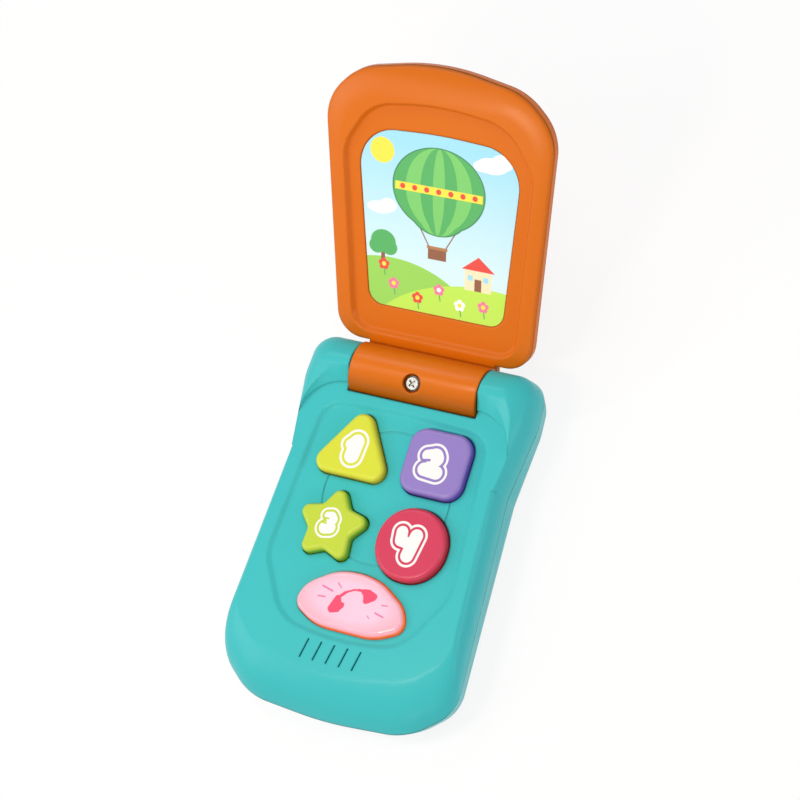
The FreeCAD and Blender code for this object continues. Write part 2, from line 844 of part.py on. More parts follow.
parts["front_shell"] = cut(
    "front_shell", front_walls,
    key_ring, slot_barrel, slot_rear, slot_upper, panel_recess, pin_bore, pin_way,
    *key_holes, *speaker_slots, *front_pilots, *board_pilots,
)

# Back shell: the lower half, with the battery bay, the screw bosses and the saddle under the pin.
def rounded_foot(outset):
    """Levels of a quarter-round edge that starts a distance above or below the underside's own."""
    levels = []
    for degrees in (0, 30, 60, 90):
        rise = size.underside_round * (1 - math.cos(math.radians(degrees)))
        inset = size.underside_round * (1 - math.sin(math.radians(degrees))) + outset
        levels.append((rounded(grown(base_outline, -inset)), rise + outset))
    return levels + [(rounded(grown(parting_outline, -outset)), size.parting_height)]


back_skin = loft("back_skin", rounded_foot(size.wall * 0), ruled=True)
back_hollow = loft("back_hollow", rounded_foot(size.wall), ruled=True)
BAY_HALF_WIDTH = size.cell_pitch / 2 + size.cell_radius + size.bay_side_gap
DOOR_TOP = size.door_inset + size.door_thickness
CELL_Z = DOOR_TOP + size.cell_floor_gap + size.cell_radius
BAY_ROOF_Z = CELL_Z + size.cell_radius + 0.2
DOOR_FRONT = size.bay_y - BAY_HALF_WIDTH - size.door_front_lap
DOOR_REAR = size.bay_y + BAY_HALF_WIDTH + size.door_rear_lap
bay_block = block(
    "bay_block",
    (-size.bay_half_length - size.bay_wall, size.bay_half_length + size.bay_wall),
    (size.bay_y - BAY_HALF_WIDTH - size.bay_wall, size.bay_y + BAY_HALF_WIDTH + size.bay_wall),
    (0.5, BAY_ROOF_Z + size.bay_roof),
)
DOOR_SEAT = DOOR_TOP + 1.5
door_frame = block(
    "door_frame",
    (-size.door_half_width - size.wall, size.door_half_width + size.wall),
    (DOOR_FRONT - size.wall, DOOR_REAR + size.wall),
    (0.5, DOOR_SEAT),
)
door_recess = block(
    "door_recess",
    (-size.door_half_width - size.door_edge_gap, size.door_half_width + size.door_edge_gap),
    (DOOR_FRONT - size.door_edge_gap, DOOR_REAR + size.door_edge_gap),
    (-1.0, DOOR_TOP),
)
bay_hollow = block(
    "bay_hollow",
    (-size.bay_half_length, size.bay_half_length),
    (size.bay_y - BAY_HALF_WIDTH, size.bay_y + BAY_HALF_WIDTH),
    (0.0, BAY_ROOF_Z),
)
DOOR_SCREW_Y = DOOR_REAR - size.door_screw_back
door_boss = rod("door_boss", size.front_boss_radius, DOOR_TOP, DOOR_TOP + 7.5, 0.0, DOOR_SCREW_Y)
DOOR_SHANK = size.small_screw_radius * 1.3
DOOR_HOLE = DOOR_SHANK + size.screw_hole_gap
door_pilot = rod("door_pilot", DOOR_HOLE, DOOR_TOP - 1.0, DOOR_TOP + 6.5, 0.0, DOOR_SCREW_Y)
back_bosses = [
    rod(f"back_boss_{n}", size.boss_radius, 0.5, size.parting_height + 0.1, x, y)
    for n, (x, y) in enumerate(HOUSING_PLACES, 1)
]
back_wells = [
    rod(f"back_well_{n}", size.screw_head_radius + size.screw_head_gap, -1.0, size.housing_screw_sink, x, y)
    for n, (x, y) in enumerate(HOUSING_PLACES, 1)
]
back_clears = [
    rod(f"back_clear_{n}", size.screw_radius + size.screw_hole_gap, 0.0, size.parting_height + 1.0, x, y)
    for n, (x, y) in enumerate(HOUSING_PLACES, 1)
]
saddles = [
    block(
        f"saddle_{side}",
        (low, low + 4.0),
        (HINGE_Y - size.pin_radius, HINGE_Y + size.pin_radius),
        (size.wall * 0.5, HINGE_Z - size.pin_radius - size.pin_running_gap),
    )
    for side, low in (("left", -PIN_END + 1.0), ("right", PIN_END - 5.0))
]
slot_floor = block(
    "slot_floor",
    (-SLOT_X - size.wall, SLOT_X + size.wall),
    (HINGE_Y - SLOT_RADIUS - size.wall, REAR - size.wall * 0.6),
    (0.5, size.parting_height),
)
slot_floor_hollow = block(
    "slot_floor_hollow",
    (-SLOT_X, SLOT_X),
    (HINGE_Y - SLOT_RADIUS + 0.6, REAR - size.wall * 3),
    (size.wall, HINGE_Z - SLOT_RADIUS - size.wall),
)
SWITCH_PAD = size.switch_pocket_depth + size.wall
PAD_HALF_HEIGHT = size.switch_pocket_half_height + size.wall
switch_pad = block(
    "switch_pad",
    (-size.switch_pocket_half_width - size.wall, size.switch_pocket_half_width + size.wall),
    (size.switch_y - PAD_HALF_HEIGHT, size.switch_y + PAD_HALF_HEIGHT),
    (0.5, SWITCH_PAD),
)
switch_pocket = block(
    "switch_pocket",
    (-size.switch_pocket_half_width, size.switch_pocket_half_width),
    (size.switch_y - size.switch_pocket_half_height, size.switch_y + size.switch_pocket_half_height),
    (-1.0, size.switch_pocket_depth),
)
STEM_REACH = size.switch_travel / 2 + size.stem_length / 2 + size.switch_gap
STEM_SIDE = size.stem_width / 2 + size.switch_gap
stem_way = block(
    "stem_way",
    (-STEM_REACH, STEM_REACH),
    (size.switch_y - STEM_SIDE, size.switch_y + STEM_SIDE),
    (0.0, SWITCH_PAD + 1.0),
)
SWITCH_LOW = SWITCH_PAD + 0.9
SWITCH_BOARD_Z = SWITCH_LOW + size.switch_body_height
SWITCH_SCREW_X = size.switch_board_half_length - 2.4
switch_posts = [
    rod(f"switch_post_{n}", size.board_post_radius, 0.5, SWITCH_BOARD_Z, side * SWITCH_SCREW_X, size.switch_y)
    for n, side in enumerate((-1, 1), 1)
]
switch_pilots = [
    rod(f"switch_pilot_{n}", size.small_screw_radius + size.screw_hole_gap,
        SWITCH_BOARD_Z - size.small_screw_length + size.switch_board_thickness - 0.2, SWITCH_BOARD_Z + 1.0,
        side * SWITCH_SCREW_X, size.switch_y)
    for n, side in enumerate((-1, 1), 1)
]
speaker_posts = [
    block(
        f"speaker_post_{side}",
        (low, low + size.bay_wall),
        (size.speaker_y - 4.0, size.speaker_y + 4.0),
        (0.5, size.speaker_top - size.speaker_flange),
    )
    for side, low in (
        ("left", -size.gasket_inner_radius - 0.7 - size.bay_wall), ("right", size.gasket_inner_radius + 0.7)
    )
]
back_walls = fuse("back_walls", [
    cut("back_tray", back_skin, back_hollow),
    common("back_floor_ribs", back_skin, fuse("back_rib_blocks", [slot_floor, *back_bosses])),
    bay_block, door_frame, door_boss, switch_pad, *saddles, *switch_posts, *speaker_posts,
])
back_slot = axle("back_slot", SLOT_RADIUS, -SLOT_X, SLOT_X, HINGE_Y, HINGE_Z)
back_slot_rear = block("back_slot_rear", (-SLOT_X, SLOT_X), (HINGE_Y, REAR + 2.0),
                       (HINGE_Z - SLOT_RADIUS, HINGE_Z + 20.0))
parts["back_shell"] = cut(
    "back_shell", back_walls,
    door_recess, bay_hollow, door_pilot, back_slot, back_slot_rear, slot_floor_hollow,
    switch_pocket, stem_way, *back_wells, *back_clears, *switch_pilots,
)

# Battery door, flush in the underside and held by one captive screw.
door_plate = block(
    "door_plate",
    (-size.door_half_width, size.door_half_width),
    (DOOR_FRONT, DOOR_REAR),
    (size.door_inset, DOOR_TOP),
)
door_hole = rod("door_hole", DOOR_HOLE, -1.0, DOOR_TOP + 1.0, 0.0, DOOR_SCREW_Y)
door_well = rod("door_well", size.screw_head_radius, -1.0, size.door_inset + 0.9, 0.0, DOOR_SCREW_Y)
GROOVE_PITCH = 2.2
GROOVE_START = DOOR_FRONT + 3.0
grip_grooves = [
    block(
        f"grip_groove_{n}",
        (-8.0, 8.0),
        (GROOVE_START + GROOVE_PITCH * n, GROOVE_START + GROOVE_PITCH * n + 1.0),
        (-1.0, size.door_inset + 0.5),
    )
    for n in range(4)
]
parts["battery_door"] = cut("battery_door", door_plate, door_hole, door_well, *grip_grooves)


def screw(name, shank_radius, head_radius, head_height, length):
    """A pan-head screw, head down at z = 0, its shank rising through the joint face at head height."""
    return turned(name, [
        (0.0, 0.0),
        (head_radius * 0.75, 0.0),
        (head_radius, head_height * 0.4),
        (head_radius, head_height),
        (shank_radius, head_height),
        (shank_radius, head_height + length - shank_radius),
        (shank_radius * 0.4, head_height + length),
        (0.0, head_height + length),
    ])


door_screw = screw(
    "battery_door_screw", DOOR_SHANK, size.screw_head_radius - 0.2, size.small_head_height, 6.0
)
place(door_screw, 0.0, DOOR_SCREW_Y, size.door_inset)
parts["battery_door_screw"] = door_screw

housing_screw = screw(
    "housing_screw_pattern",
    size.screw_radius, size.screw_head_radius, size.screw_head_height, size.housing_screw_length,
)
small_screw = screw(
    "small_screw_pattern",
    size.small_screw_radius, size.small_head_radius, size.small_head_height, size.small_screw_length,
)
doc.recompute()
parts["housing_screws"] = several("housing_screws", housing_screw, [
    (x, y, size.housing_screw_sink - size.screw_head_height) for x, y in HOUSING_PLACES
])
parts["board_screws"] = several("board_screws", small_screw, [
    (x, y, size.board_underside - size.small_head_height) for x, y in BOARD_PLACES
])

# Circuit board on three posts under the keypad panel, with the sound chip and small components.
board_plate = block(
    "board_plate",
    (-size.board_half_width, size.board_half_width),
    (size.board_front, size.board_rear),
    (size.board_underside, BOARD_TOP),
)
SMALL_HOLE = size.small_screw_radius + size.screw_hole_gap
board_holes = [
    rod(f"board_hole_{n}", SMALL_HOLE, size.board_underside - 1.0, BOARD_TOP + 1.0, x, y)
    for n, (x, y) in enumerate(BOARD_PLACES, 1)
]
parts["main_board"] = cut("main_board", board_plate, *board_holes)
CHIP_Y = size.board_rear - 8.0
parts["sound_chip"] = block(
    "sound_chip",
    (size.chip_length * 0.6, size.chip_length * 1.6),
    (CHIP_Y - size.chip_width / 2, CHIP_Y + size.chip_width / 2),
    (size.board_underside - size.chip_thickness, size.board_underside),
)
CAPACITOR_LOW = size.board_underside - size.capacitor_height
RESISTOR_X = size.resistor_pitch - size.board_half_width * 0.8
RESISTOR_Y = size.board_front + 5.0
component_list = [
    rod(
        f"capacitor_{n}", size.capacitor_radius, CAPACITOR_LOW, size.board_underside,
        size.capacitor_pitch * n - size.board_half_width * 0.7, CHIP_Y,
    )
    for n in range(2)
] + [
    block(
        f"resistor_{n}",
        (RESISTOR_X + size.resistor_pitch * n, RESISTOR_X + size.resistor_pitch * n + size.resistor_length),
        (RESISTOR_Y, RESISTOR_Y + size.resistor_width),
        (size.board_underside - size.resistor_thickness, size.board_underside),
    )
    for n in range(4)
]
board_components = doc.addObject("Part::Compound", "board_components")
board_components.Links = component_list
parts["board_components"] = board_components
led_pattern = turned("call_led_pattern", [
    (0.0, 0.0),
    (size.led_radius, 0.0),
    (size.led_radius, size.led_height * 0.6),
    (size.led_radius * 0.6, size.led_height * 0.9),
    (0.0, size.led_height),
])
doc.recompute()
parts["call_leds"] = several("call_leds", led_pattern, [
    (size.call_x + side * size.led_x, size.call_y, BOARD_TOP) for side in (-1, 1)
])

# Rubber domes: one return spring under each key, standing on the board.
for number, (name, corners, height, x, y) in enumerate(KEYS, start=1):
    dome = doc.addObject("Part::Cone", f"rubber_dome_{number}")
    bind(dome, "Radius1", size.dome_foot_radius)
    bind(dome, "Radius2", size.dome_top_radius)
    bind(dome, "Height", size.dome_height)
    place(dome, x, y, BOARD_TOP)
    parts[f"rubber_dome_{number}"] = dome

# Keys: hollow caps with a flange under the panel and a plunger on the dome.
for name, corners, height, x, y in KEYS:
    cap_top = size.rim_height + height
    cap = rounded_top(
        f"{name}_cap", prism(f"{name}_block", rounded(corners), FLANGE_LOW, cap_top), size.key_round
    )
    flange_outline = rounded(grown(corners, size.key_edge_gap + size.key_flange))
    flange = prism(f"{name}_flange", flange_outline, FLANGE_LOW, FLANGE_TOP)
    hollow_outline = rounded(grown(corners, -size.key_wall))
    hollow = prism(f"{name}_hollow", hollow_outline, FLANGE_LOW - 1.0, cap_top - size.key_wall * 1.3)
    plunger = rod(f"{name}_plunger", size.plunger_radius, DOME_TOP, cap_top - size.key_wall, x, y)
    parts[name] = fuse(name, [cut(f"{name}_shell", fuse(f"{name}_solid", [cap, flange]), hollow), plunger])

# Loudspeaker: steel basket, paper cone, magnet and a foam gasket against the front shell.
SPEAKER_TOP = size.speaker_top
FLANGE_Z = SPEAKER_TOP - size.speaker_flange
BASKET_LOW = SPEAKER_TOP - size.speaker_depth
basket = turned("speaker_basket", [
    (size.gasket_inner_radius, SPEAKER_TOP),
    (size.speaker_radius, SPEAKER_TOP),
    (size.speaker_radius, FLANGE_Z),
    (size.gasket_inner_radius + 0.6, FLANGE_Z),
    (size.speaker_back_radius, BASKET_LOW),
    (size.magnet_radius * 0.5, BASKET_LOW),
    (size.magnet_radius * 0.5, BASKET_LOW + 0.8),
    (size.speaker_back_radius - 0.6, BASKET_LOW + 0.8),
    (size.gasket_inner_radius, FLANGE_Z),
])
parts["speaker_basket"] = place(basket, 0.0, size.speaker_y, 0.0)
cone = turned("speaker_cone", [
    (0.0, BASKET_LOW + 1.6),
    (size.magnet_radius * 0.5, BASKET_LOW + 1.2),
    (size.gasket_inner_radius - 1.0, SPEAKER_TOP - 0.9),
    (size.gasket_inner_radius - 0.02, SPEAKER_TOP - 0.6),
    (size.gasket_inner_radius - 0.02, SPEAKER_TOP - 0.3),
    (size.gasket_inner_radius - 1.2, SPEAKER_TOP - 0.5),
    (size.magnet_radius * 0.5, BASKET_LOW + 1.6),
    (0.0, BASKET_LOW + 2.2),
])
parts["speaker_cone"] = place(cone, 0.0, size.speaker_y, 0.0)
parts["speaker_magnet"] = rod(
    "speaker_magnet", size.magnet_radius, BASKET_LOW - size.magnet_height, BASKET_LOW, 0.0, size.speaker_y
)
parts["speaker_gasket"] = cut(
    "speaker_gasket",
    rod("gasket_disc", size.speaker_radius, SPEAKER_TOP, SPEAKER_SEAT, 0.0, size.speaker_y),
    rod("gasket_hole", size.gasket_inner_radius, SPEAKER_TOP - 1.0, SPEAKER_SEAT + 1.0, 0.0, size.speaker_y),
)

# Batteries across the bay, head to tail, with a spring and a plate for each.
CONTACT_X = size.bay_half_length - size.contact_thickness
for number, side in ((1, 1), (2, -1)):
    cell_y = size.bay_y + side * size.cell_pitch / 2
    cell = turned(f"battery_{number}", [
        (0.0, 0.0),
        (size.cell_radius - 0.4, 0.0),
        (size.cell_radius, 0.4),
        (size.cell_radius, size.cell_length - 0.4),
        (size.cell_radius - 0.4, size.cell_length),
        (size.cell_nub_radius, size.cell_length),
        (size.cell_nub_radius, size.cell_length + size.cell_nub_height),
        (0.0, size.cell_length + size.cell_nub_height),
    ])
    turn = FreeCAD.Rotation(FreeCAD.Vector(0, 1, 0), 90 * side)
    nub_end = CONTACT_X - size.cell_length - size.cell_nub_height
    parts[f"battery_{number}"] = place(cell, side * nub_end, cell_y, CELL_Z, turn)

contact_plates = []
contact_springs = []
for number, side in ((1, 1), (2, -1)):
    cell_y = size.bay_y + side * size.cell_pitch / 2
    for end, sign in (("nub", side), ("spring", -side)):
        outer = size.bay_half_length
        x = (CONTACT_X, outer) if sign > 0 else (-outer, -CONTACT_X)
        contact_plates.append(block(
            f"contact_{number}_{end}", x,
            (cell_y - size.contact_side / 2, cell_y + size.contact_side / 2),
            (CELL_Z - size.contact_side / 2, CELL_Z + size.contact_side / 2),
        ))
    room = CONTACT_X - (size.cell_length + size.cell_nub_height - CONTACT_X)
    coils = 3
    pitch = (room - size.spring_wire_radius * 2) / coils
    for coil in range(coils + 1):
        ring = doc.addObject("Part::Torus", f"spring_{number}_coil_{coil}")
        bind(ring, "Radius1", size.spring_radius - 0.3 * coil)
        bind(ring, "Radius2", size.spring_wire_radius)
        along = CONTACT_X - size.spring_wire_radius - coil * pitch
        place(ring, -side * along, cell_y, CELL_Z, ALONG_X)
        contact_springs.append(ring)
    rise_x = (-CONTACT_X, -CONTACT_X + room) if side > 0 else (CONTACT_X - room, CONTACT_X)
    spring_top = CELL_Z + size.spring_radius
    contact_springs.append(block(
        f"spring_{number}_rise",
        rise_x,
        (cell_y - 0.3, cell_y + 0.3),
        (spring_top - 0.9 - size.spring_wire_radius, spring_top + size.spring_wire_radius * 0.5),
    ))
plate_group = doc.addObject("Part::Compound", "contact_plates")
plate_group.Links = contact_plates
parts["contact_plates"] = plate_group
parts["contact_springs"] = fuse("contact_springs", contact_springs)

# Power switch: a knob in a pocket of the underside moves the lever of a small slide switch.
KNOB_X = -size.switch_travel / 2
knob = block(
    "knob",
    (KNOB_X - size.knob_length / 2, KNOB_X + size.knob_length / 2),
    (size.switch_y - size.knob_width / 2, size.switch_y + size.knob_width / 2),
    (size.knob_inset, size.knob_inset + size.knob_thickness),
)
stem = block(
    "stem",
    (KNOB_X - size.stem_length / 2, KNOB_X + size.stem_length / 2),
    (size.switch_y - size.stem_width / 2, size.switch_y + size.stem_width / 2),
    (size.knob_inset, SWITCH_LOW - size.switch_gap),
)
KNOB_GROOVE_PITCH = 1.4
knob_grooves = [
    block(
        f"knob_groove_{n}",
        (KNOB_X - 2.6 + KNOB_GROOVE_PITCH * n, KNOB_X - 2.0 + KNOB_GROOVE_PITCH * n),
        (size.switch_y - size.knob_width, size.switch_y + size.knob_width),
        (0.0, size.knob_inset + 0.35),
    )
    for n in range(4)
]
parts["power_slider"] = cut("power_slider", fuse("slider_body", [knob, stem]), *knob_grooves)
parts["slide_switch"] = block(
    "slide_switch",
    (-size.switch_body_length / 2, size.switch_body_length / 2),
    (size.switch_y - size.switch_body_width / 2, size.switch_y + size.switch_body_width / 2),
    (SWITCH_LOW, SWITCH_BOARD_Z),
)
switch_plate = block(
    "switch_plate",
    (-size.switch_board_half_length, size.switch_board_half_length),
    (size.switch_y - size.switch_board_half_width, size.switch_y + size.switch_board_half_width),
    (SWITCH_BOARD_Z, SWITCH_BOARD_Z + size.switch_board_thickness),
)
switch_holes = [
    rod(f"switch_hole_{n}", size.small_screw_radius + size.screw_hole_gap, SWITCH_BOARD_Z - 1.0,
        SWITCH_BOARD_Z + size.switch_board_thickness + 1.0, side * SWITCH_SCREW_X, size.switch_y)
    for n, side in enumerate((-1, 1), 1)
]
parts["switch_board"] = cut("switch_board", switch_plate, *switch_holes)
switch_screw = screw(
    "switch_screw_pattern",
    size.small_screw_radius, size.small_head_radius, size.small_head_height, size.small_screw_length - 0.3,
)
switch_screw.Placement = FreeCAD.Placement(FreeCAD.Vector(), FreeCAD.Rotation(FreeCAD.Vector(1, 0, 0), 180))
doc.recompute()
SWITCH_SCREW_TOP = SWITCH_BOARD_Z + size.switch_board_thickness + size.small_head_height
parts["switch_screws"] = several("switch_screws", switch_screw, [
    (side * SWITCH_SCREW_X, size.switch_y, SWITCH_SCREW_TOP) for side in (-1, 1)
])

# Hinge pin and washers.
hinge_pin = axle("hinge_pin", size.pin_radius, -PIN_END, PIN_END, HINGE_Y, HINGE_Z)
parts["hinge_pin"] = hinge_pin
BARREL_X = SLOT_X - size.barrel_end_gap
washers = []
for side, low in (("left", -BARREL_X - size.washer_thickness), ("right", BARREL_X)):
    disc = axle(f"washer_disc_{side}", size.washer_radius, low, low + size.washer_thickness, HINGE_Y, HINGE_Z)
    hole = axle(
        f"washer_hole_{side}", size.pin_radius + size.screw_hole_gap,
        low - 1.0, low + size.washer_thickness + 1.0, HINGE_Y, HINGE_Z,
    )
    washers.append(cut(f"washer_{side}", disc, hole))
washer_group = doc.addObject("Part::Compound", "hinge_washers")
washer_group.Links = washers
parts["hinge_washers"] = washer_group

# Lid, drawn flat with the hinge axis as its origin and its picture side up, then raised to rest.
FACE_Z = -size.hinge_drop - size.lid_gap
SPLIT_Z = FACE_Z - size.lid_split_depth
BACK_Z = FACE_Z - size.lid_thickness
RECESS_Z = FACE_Z - size.lid_recess_depth
POCKET_Z = RECESS_Z - size.label_pocket_depth
raised = FreeCAD.Rotation(FreeCAD.Vector(1, 0, 0), float(size.open_angle))


def raise_lid(item):
    item.Placement = FreeCAD.Placement(FreeCAD.Vector(0, hinge_y, hinge_z), raised)
    item.setExpression("Placement.Base.y", HINGE_Y.text)
    item.setExpression("Placement.Base.z", HINGE_Z.text)
    item.setExpression("Placement.Rotation.Angle", size.open_angle.text)
    return item


LID_SCREW_PLACES = [
    (side * size.lid_screw_x, y) for y in (size.lid_screw_near, size.lid_screw_far) for side in (-1, 1)
]
frame_plate = prism("frame_plate", rounded(lid_outline), SPLIT_Z, FACE_Z)
frame_plate_round = rounded_top("frame_plate_round", frame_plate, 0.9)
frame_neck = block("frame_neck", (-BARREL_X, BARREL_X), (0.0, size.recess_start), (SPLIT_Z, FACE_Z))
frame_barrel = axle("frame_barrel", size.ear_radius, -BARREL_X, BARREL_X, 0.0, 0.0)
frame_recess = fuse("frame_recess", [
    loft("recess_slope", [
        (rounded(grown(recess_outline, -size.recess_slope_run)), RECESS_Z),
        (rounded(recess_outline), FACE_Z),
    ], ruled=True),
    prism("recess_clearance", rounded(recess_outline), FACE_Z, FACE_Z + 1.0),
])
pocket_outline = rounded(grown(label_outline, size.label_edge_gap))
label_pocket = prism("label_pocket", pocket_outline, POCKET_Z, RECESS_Z + 1.0)
channel = cut(
    "channel",
    prism("channel_outside", rounded(grown(lid_outline, -size.wall)), SPLIT_Z - 1.0, FACE_Z - size.wall),
    prism("channel_inside", rounded(grown(recess_outline, size.wall * 0.8)), SPLIT_Z - 2.0, FACE_Z),
    block(
        "channel_neck",
        (-BARREL_X - 1.0, BARREL_X + 1.0),
        (0.0, size.recess_start + 1.0),
        (SPLIT_Z - 2.0, FACE_Z),
    ),
)
barrel_cores = []
for side, low in (("left", -BARREL_X - 1.0), ("right", BARREL_X - size.barrel_core_depth)):
    high = low + size.barrel_core_depth + 1.0
    barrel_cores.append(cut(
        f"barrel_core_{side}",
        axle(f"core_outside_{side}", size.barrel_core_radius, low, high, 0.0, 0.0),
        axle(f"core_inside_{side}", size.bearing_radius, low - 1.0, high + 1.0, 0.0, 0.0),
    ))
barrel_bore = axle(
    "barrel_bore", size.pin_radius + size.screw_hole_gap, -BARREL_X - 1.0, BARREL_X + 1.0, 0.0, 0.0
)
screw_tilt = FreeCAD.Rotation(FreeCAD.Vector(1, 0, 0), float(size.barrel_screw_angle) - 90.0)


def radial(item, distance):
    """Stands a piece on the barrel's screw line, its own z = 0 at a distance from the hinge axis."""
    angle = math.radians(float(size.barrel_screw_angle))
    item.Placement = FreeCAD.Placement(
        FreeCAD.Vector(0, float(distance) * math.cos(angle), float(distance) * math.sin(angle)), screw_tilt
    )
    return item


BARREL_SEAT = size.ear_radius - 2.0
barrel_well = doc.addObject("Part::Cylinder", "barrel_well")
bind(barrel_well, "Radius", size.screw_head_radius + 0.9)
barrel_well.Height = 6.0
radial(barrel_well, BARREL_SEAT)
barrel_pilot = doc.addObject("Part::Cylinder", "barrel_pilot")
bind(barrel_pilot, "Radius", size.screw_radius + size.screw_hole_gap)
bind(barrel_pilot, "Height", BARREL_SEAT)
radial(barrel_pilot, 0.0)
LID_WELL_Z = POCKET_Z - size.small_head_height - 0.05
screw_heads = [
    rod(f"lid_screw_well_{n}", size.small_head_radius + 0.1, LID_WELL_Z, POCKET_Z + 1.0, x, y)
    for n, (x, y) in enumerate(LID_SCREW_PLACES, 1)
]
screw_ways = [
    rod(f"lid_screw_way_{n}", size.small_screw_radius + size.screw_hole_gap, SPLIT_Z - 1.0, POCKET_Z, x, y)
    for n, (x, y) in enumerate(LID_SCREW_PLACES, 1)
]
lid_frame = cut(
    "lid_frame", fuse("frame_solid", [frame_plate_round, frame_neck, frame_barrel]),
    frame_recess, label_pocket, channel,
    *barrel_cores, barrel_bore, barrel_well, barrel_pilot, *screw_heads, *screw_ways,
)
parts["lid_frame"] = raise_lid(lid_frame)

cover_skin = loft("cover_skin", [
    (rounded(grown(lid_outline, -size.lid_back_round)), BACK_Z),
    (rounded(grown(lid_outline, -size.lid_back_round * 0.3)), BACK_Z + size.lid_back_round * 0.3),
    (rounded(lid_outline), SPLIT_Z),
])
cover_hollow = prism(
    "cover_hollow", rounded(grown(lid_outline, -size.wall - 1.2)), BACK_Z + size.wall * 0.8, SPLIT_Z + 1.0
)
cover_bosses = [
    rod(f"cover_boss_{n}", size.front_boss_radius, BACK_Z + 0.5, SPLIT_Z, x, y)
    for n, (x, y) in enumerate(LID_SCREW_PLACES, 1)
]
cover_pilots = [
    rod(f"cover_pilot_{n}", size.small_screw_radius + size.screw_hole_gap, BACK_Z + 0.6, SPLIT_Z + 1.0, x, y)
    for n, (x, y) in enumerate(LID_SCREW_PLACES, 1)
]
cover_tray = cut("cover_tray", cover_skin, cover_hollow)
lid_cover = cut("lid_cover", fuse("cover_solid", [cover_tray, *cover_bosses]), *cover_pilots)
parts["lid_cover"] = raise_lid(lid_cover)
parts["picture_label"] = raise_lid(
    prism("picture_label", rounded(label_outline), POCKET_Z, POCKET_Z + size.label_thickness)
)

lid_screw = screw(
    "lid_screw_pattern",
    size.small_screw_radius, size.small_head_radius, size.small_head_height, size.lid_screw_length,
)
lid_screw.Placement = FreeCAD.Placement(FreeCAD.Vector(), FreeCAD.Rotation(FreeCAD.Vector(1, 0, 0), 180))
barrel_screw = screw(
    "barrel_screw_pattern",
    size.screw_radius, size.screw_head_radius + 0.4, size.screw_head_height,
    BARREL_SEAT - size.pin_radius - 0.1,
)
doc.recompute()
parts["lid_screws"] = raise_lid(
    several("lid_screws", lid_screw, [(x, y, POCKET_Z) for x, y in LID_SCREW_PLACES])
)
fixing = doc.addObject("Part::Feature", "barrel_screw_fixing")
fixing.Shape = barrel_screw.Shape
angle = math.radians(float(size.barrel_screw_angle))
out = float(BARREL_SEAT + size.screw_head_height)
fixing.Placement = FreeCAD.Placement(
    FreeCAD.Vector(0, out * math.cos(angle), out * math.sin(angle)),
    FreeCAD.Rotation(FreeCAD.Vector(1, 0, 0), float(size.barrel_screw_angle) + 90.0),
)
fixing_group = doc.addObject("Part::Compound", "barrel_screw")
fixing_group.Links = [fixing]
parts["barrel_screw"] = raise_lid(fixing_group)

doc.recompute()
for name, item in parts.items():
    item.Label = name
for item in doc.Objects:
    faults = [state for state in item.State if state in ("Invalid", "Error")]
    if faults:
        raise RuntimeError(f"{item.Name} is {faults[0]}")
for name, item in parts.items():
    if item.Shape.isNull() or not item.Shape.isValid():
        raise RuntimeError(f"{name} has no valid shape")

os.makedirs("parts", exist_ok=True)
for name, item in parts.items():
    item.Shape.exportStep(f"parts/{name}.step")
    box = item.Shape.BoundBox
    print(
        f"{name:22s} solids {len(item.Shape.Solids)}  volume {item.Shape.Volume:9.1f}"
        f"  x {box.XMin:7.2f} {box.XMax:7.2f}  y {box.YMin:7.2f} {box.YMax:7.2f}"
        f"  z {box.ZMin:7.2f} {box.ZMax:7.2f}"
    )
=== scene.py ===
import bpy
import json
import math
from mathutils import Matrix, Vector

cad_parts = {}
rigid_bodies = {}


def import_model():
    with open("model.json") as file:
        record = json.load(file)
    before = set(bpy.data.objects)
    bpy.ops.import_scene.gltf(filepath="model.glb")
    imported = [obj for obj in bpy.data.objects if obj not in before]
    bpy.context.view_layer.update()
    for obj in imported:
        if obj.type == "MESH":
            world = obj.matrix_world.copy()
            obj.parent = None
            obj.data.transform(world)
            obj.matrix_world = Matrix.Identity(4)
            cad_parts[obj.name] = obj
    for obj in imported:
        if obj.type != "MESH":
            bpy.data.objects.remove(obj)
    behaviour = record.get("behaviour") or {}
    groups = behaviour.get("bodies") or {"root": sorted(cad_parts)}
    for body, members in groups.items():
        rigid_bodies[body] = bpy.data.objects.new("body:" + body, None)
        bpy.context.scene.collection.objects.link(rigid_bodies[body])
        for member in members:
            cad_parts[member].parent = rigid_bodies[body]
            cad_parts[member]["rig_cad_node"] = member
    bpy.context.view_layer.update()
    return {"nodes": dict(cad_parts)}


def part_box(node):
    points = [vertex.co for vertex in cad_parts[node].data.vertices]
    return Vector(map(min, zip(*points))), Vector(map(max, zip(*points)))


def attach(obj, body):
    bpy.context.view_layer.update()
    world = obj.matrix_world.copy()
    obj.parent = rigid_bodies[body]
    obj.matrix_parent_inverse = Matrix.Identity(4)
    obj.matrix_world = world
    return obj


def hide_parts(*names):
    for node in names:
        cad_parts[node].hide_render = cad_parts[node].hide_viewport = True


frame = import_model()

# Front shell. The teal half of the housing that carries the keys and the two hinge ears:
# injection moulded in ABS with a fine satin grain, its edges eased, screwed on from below.
MM = 0.001


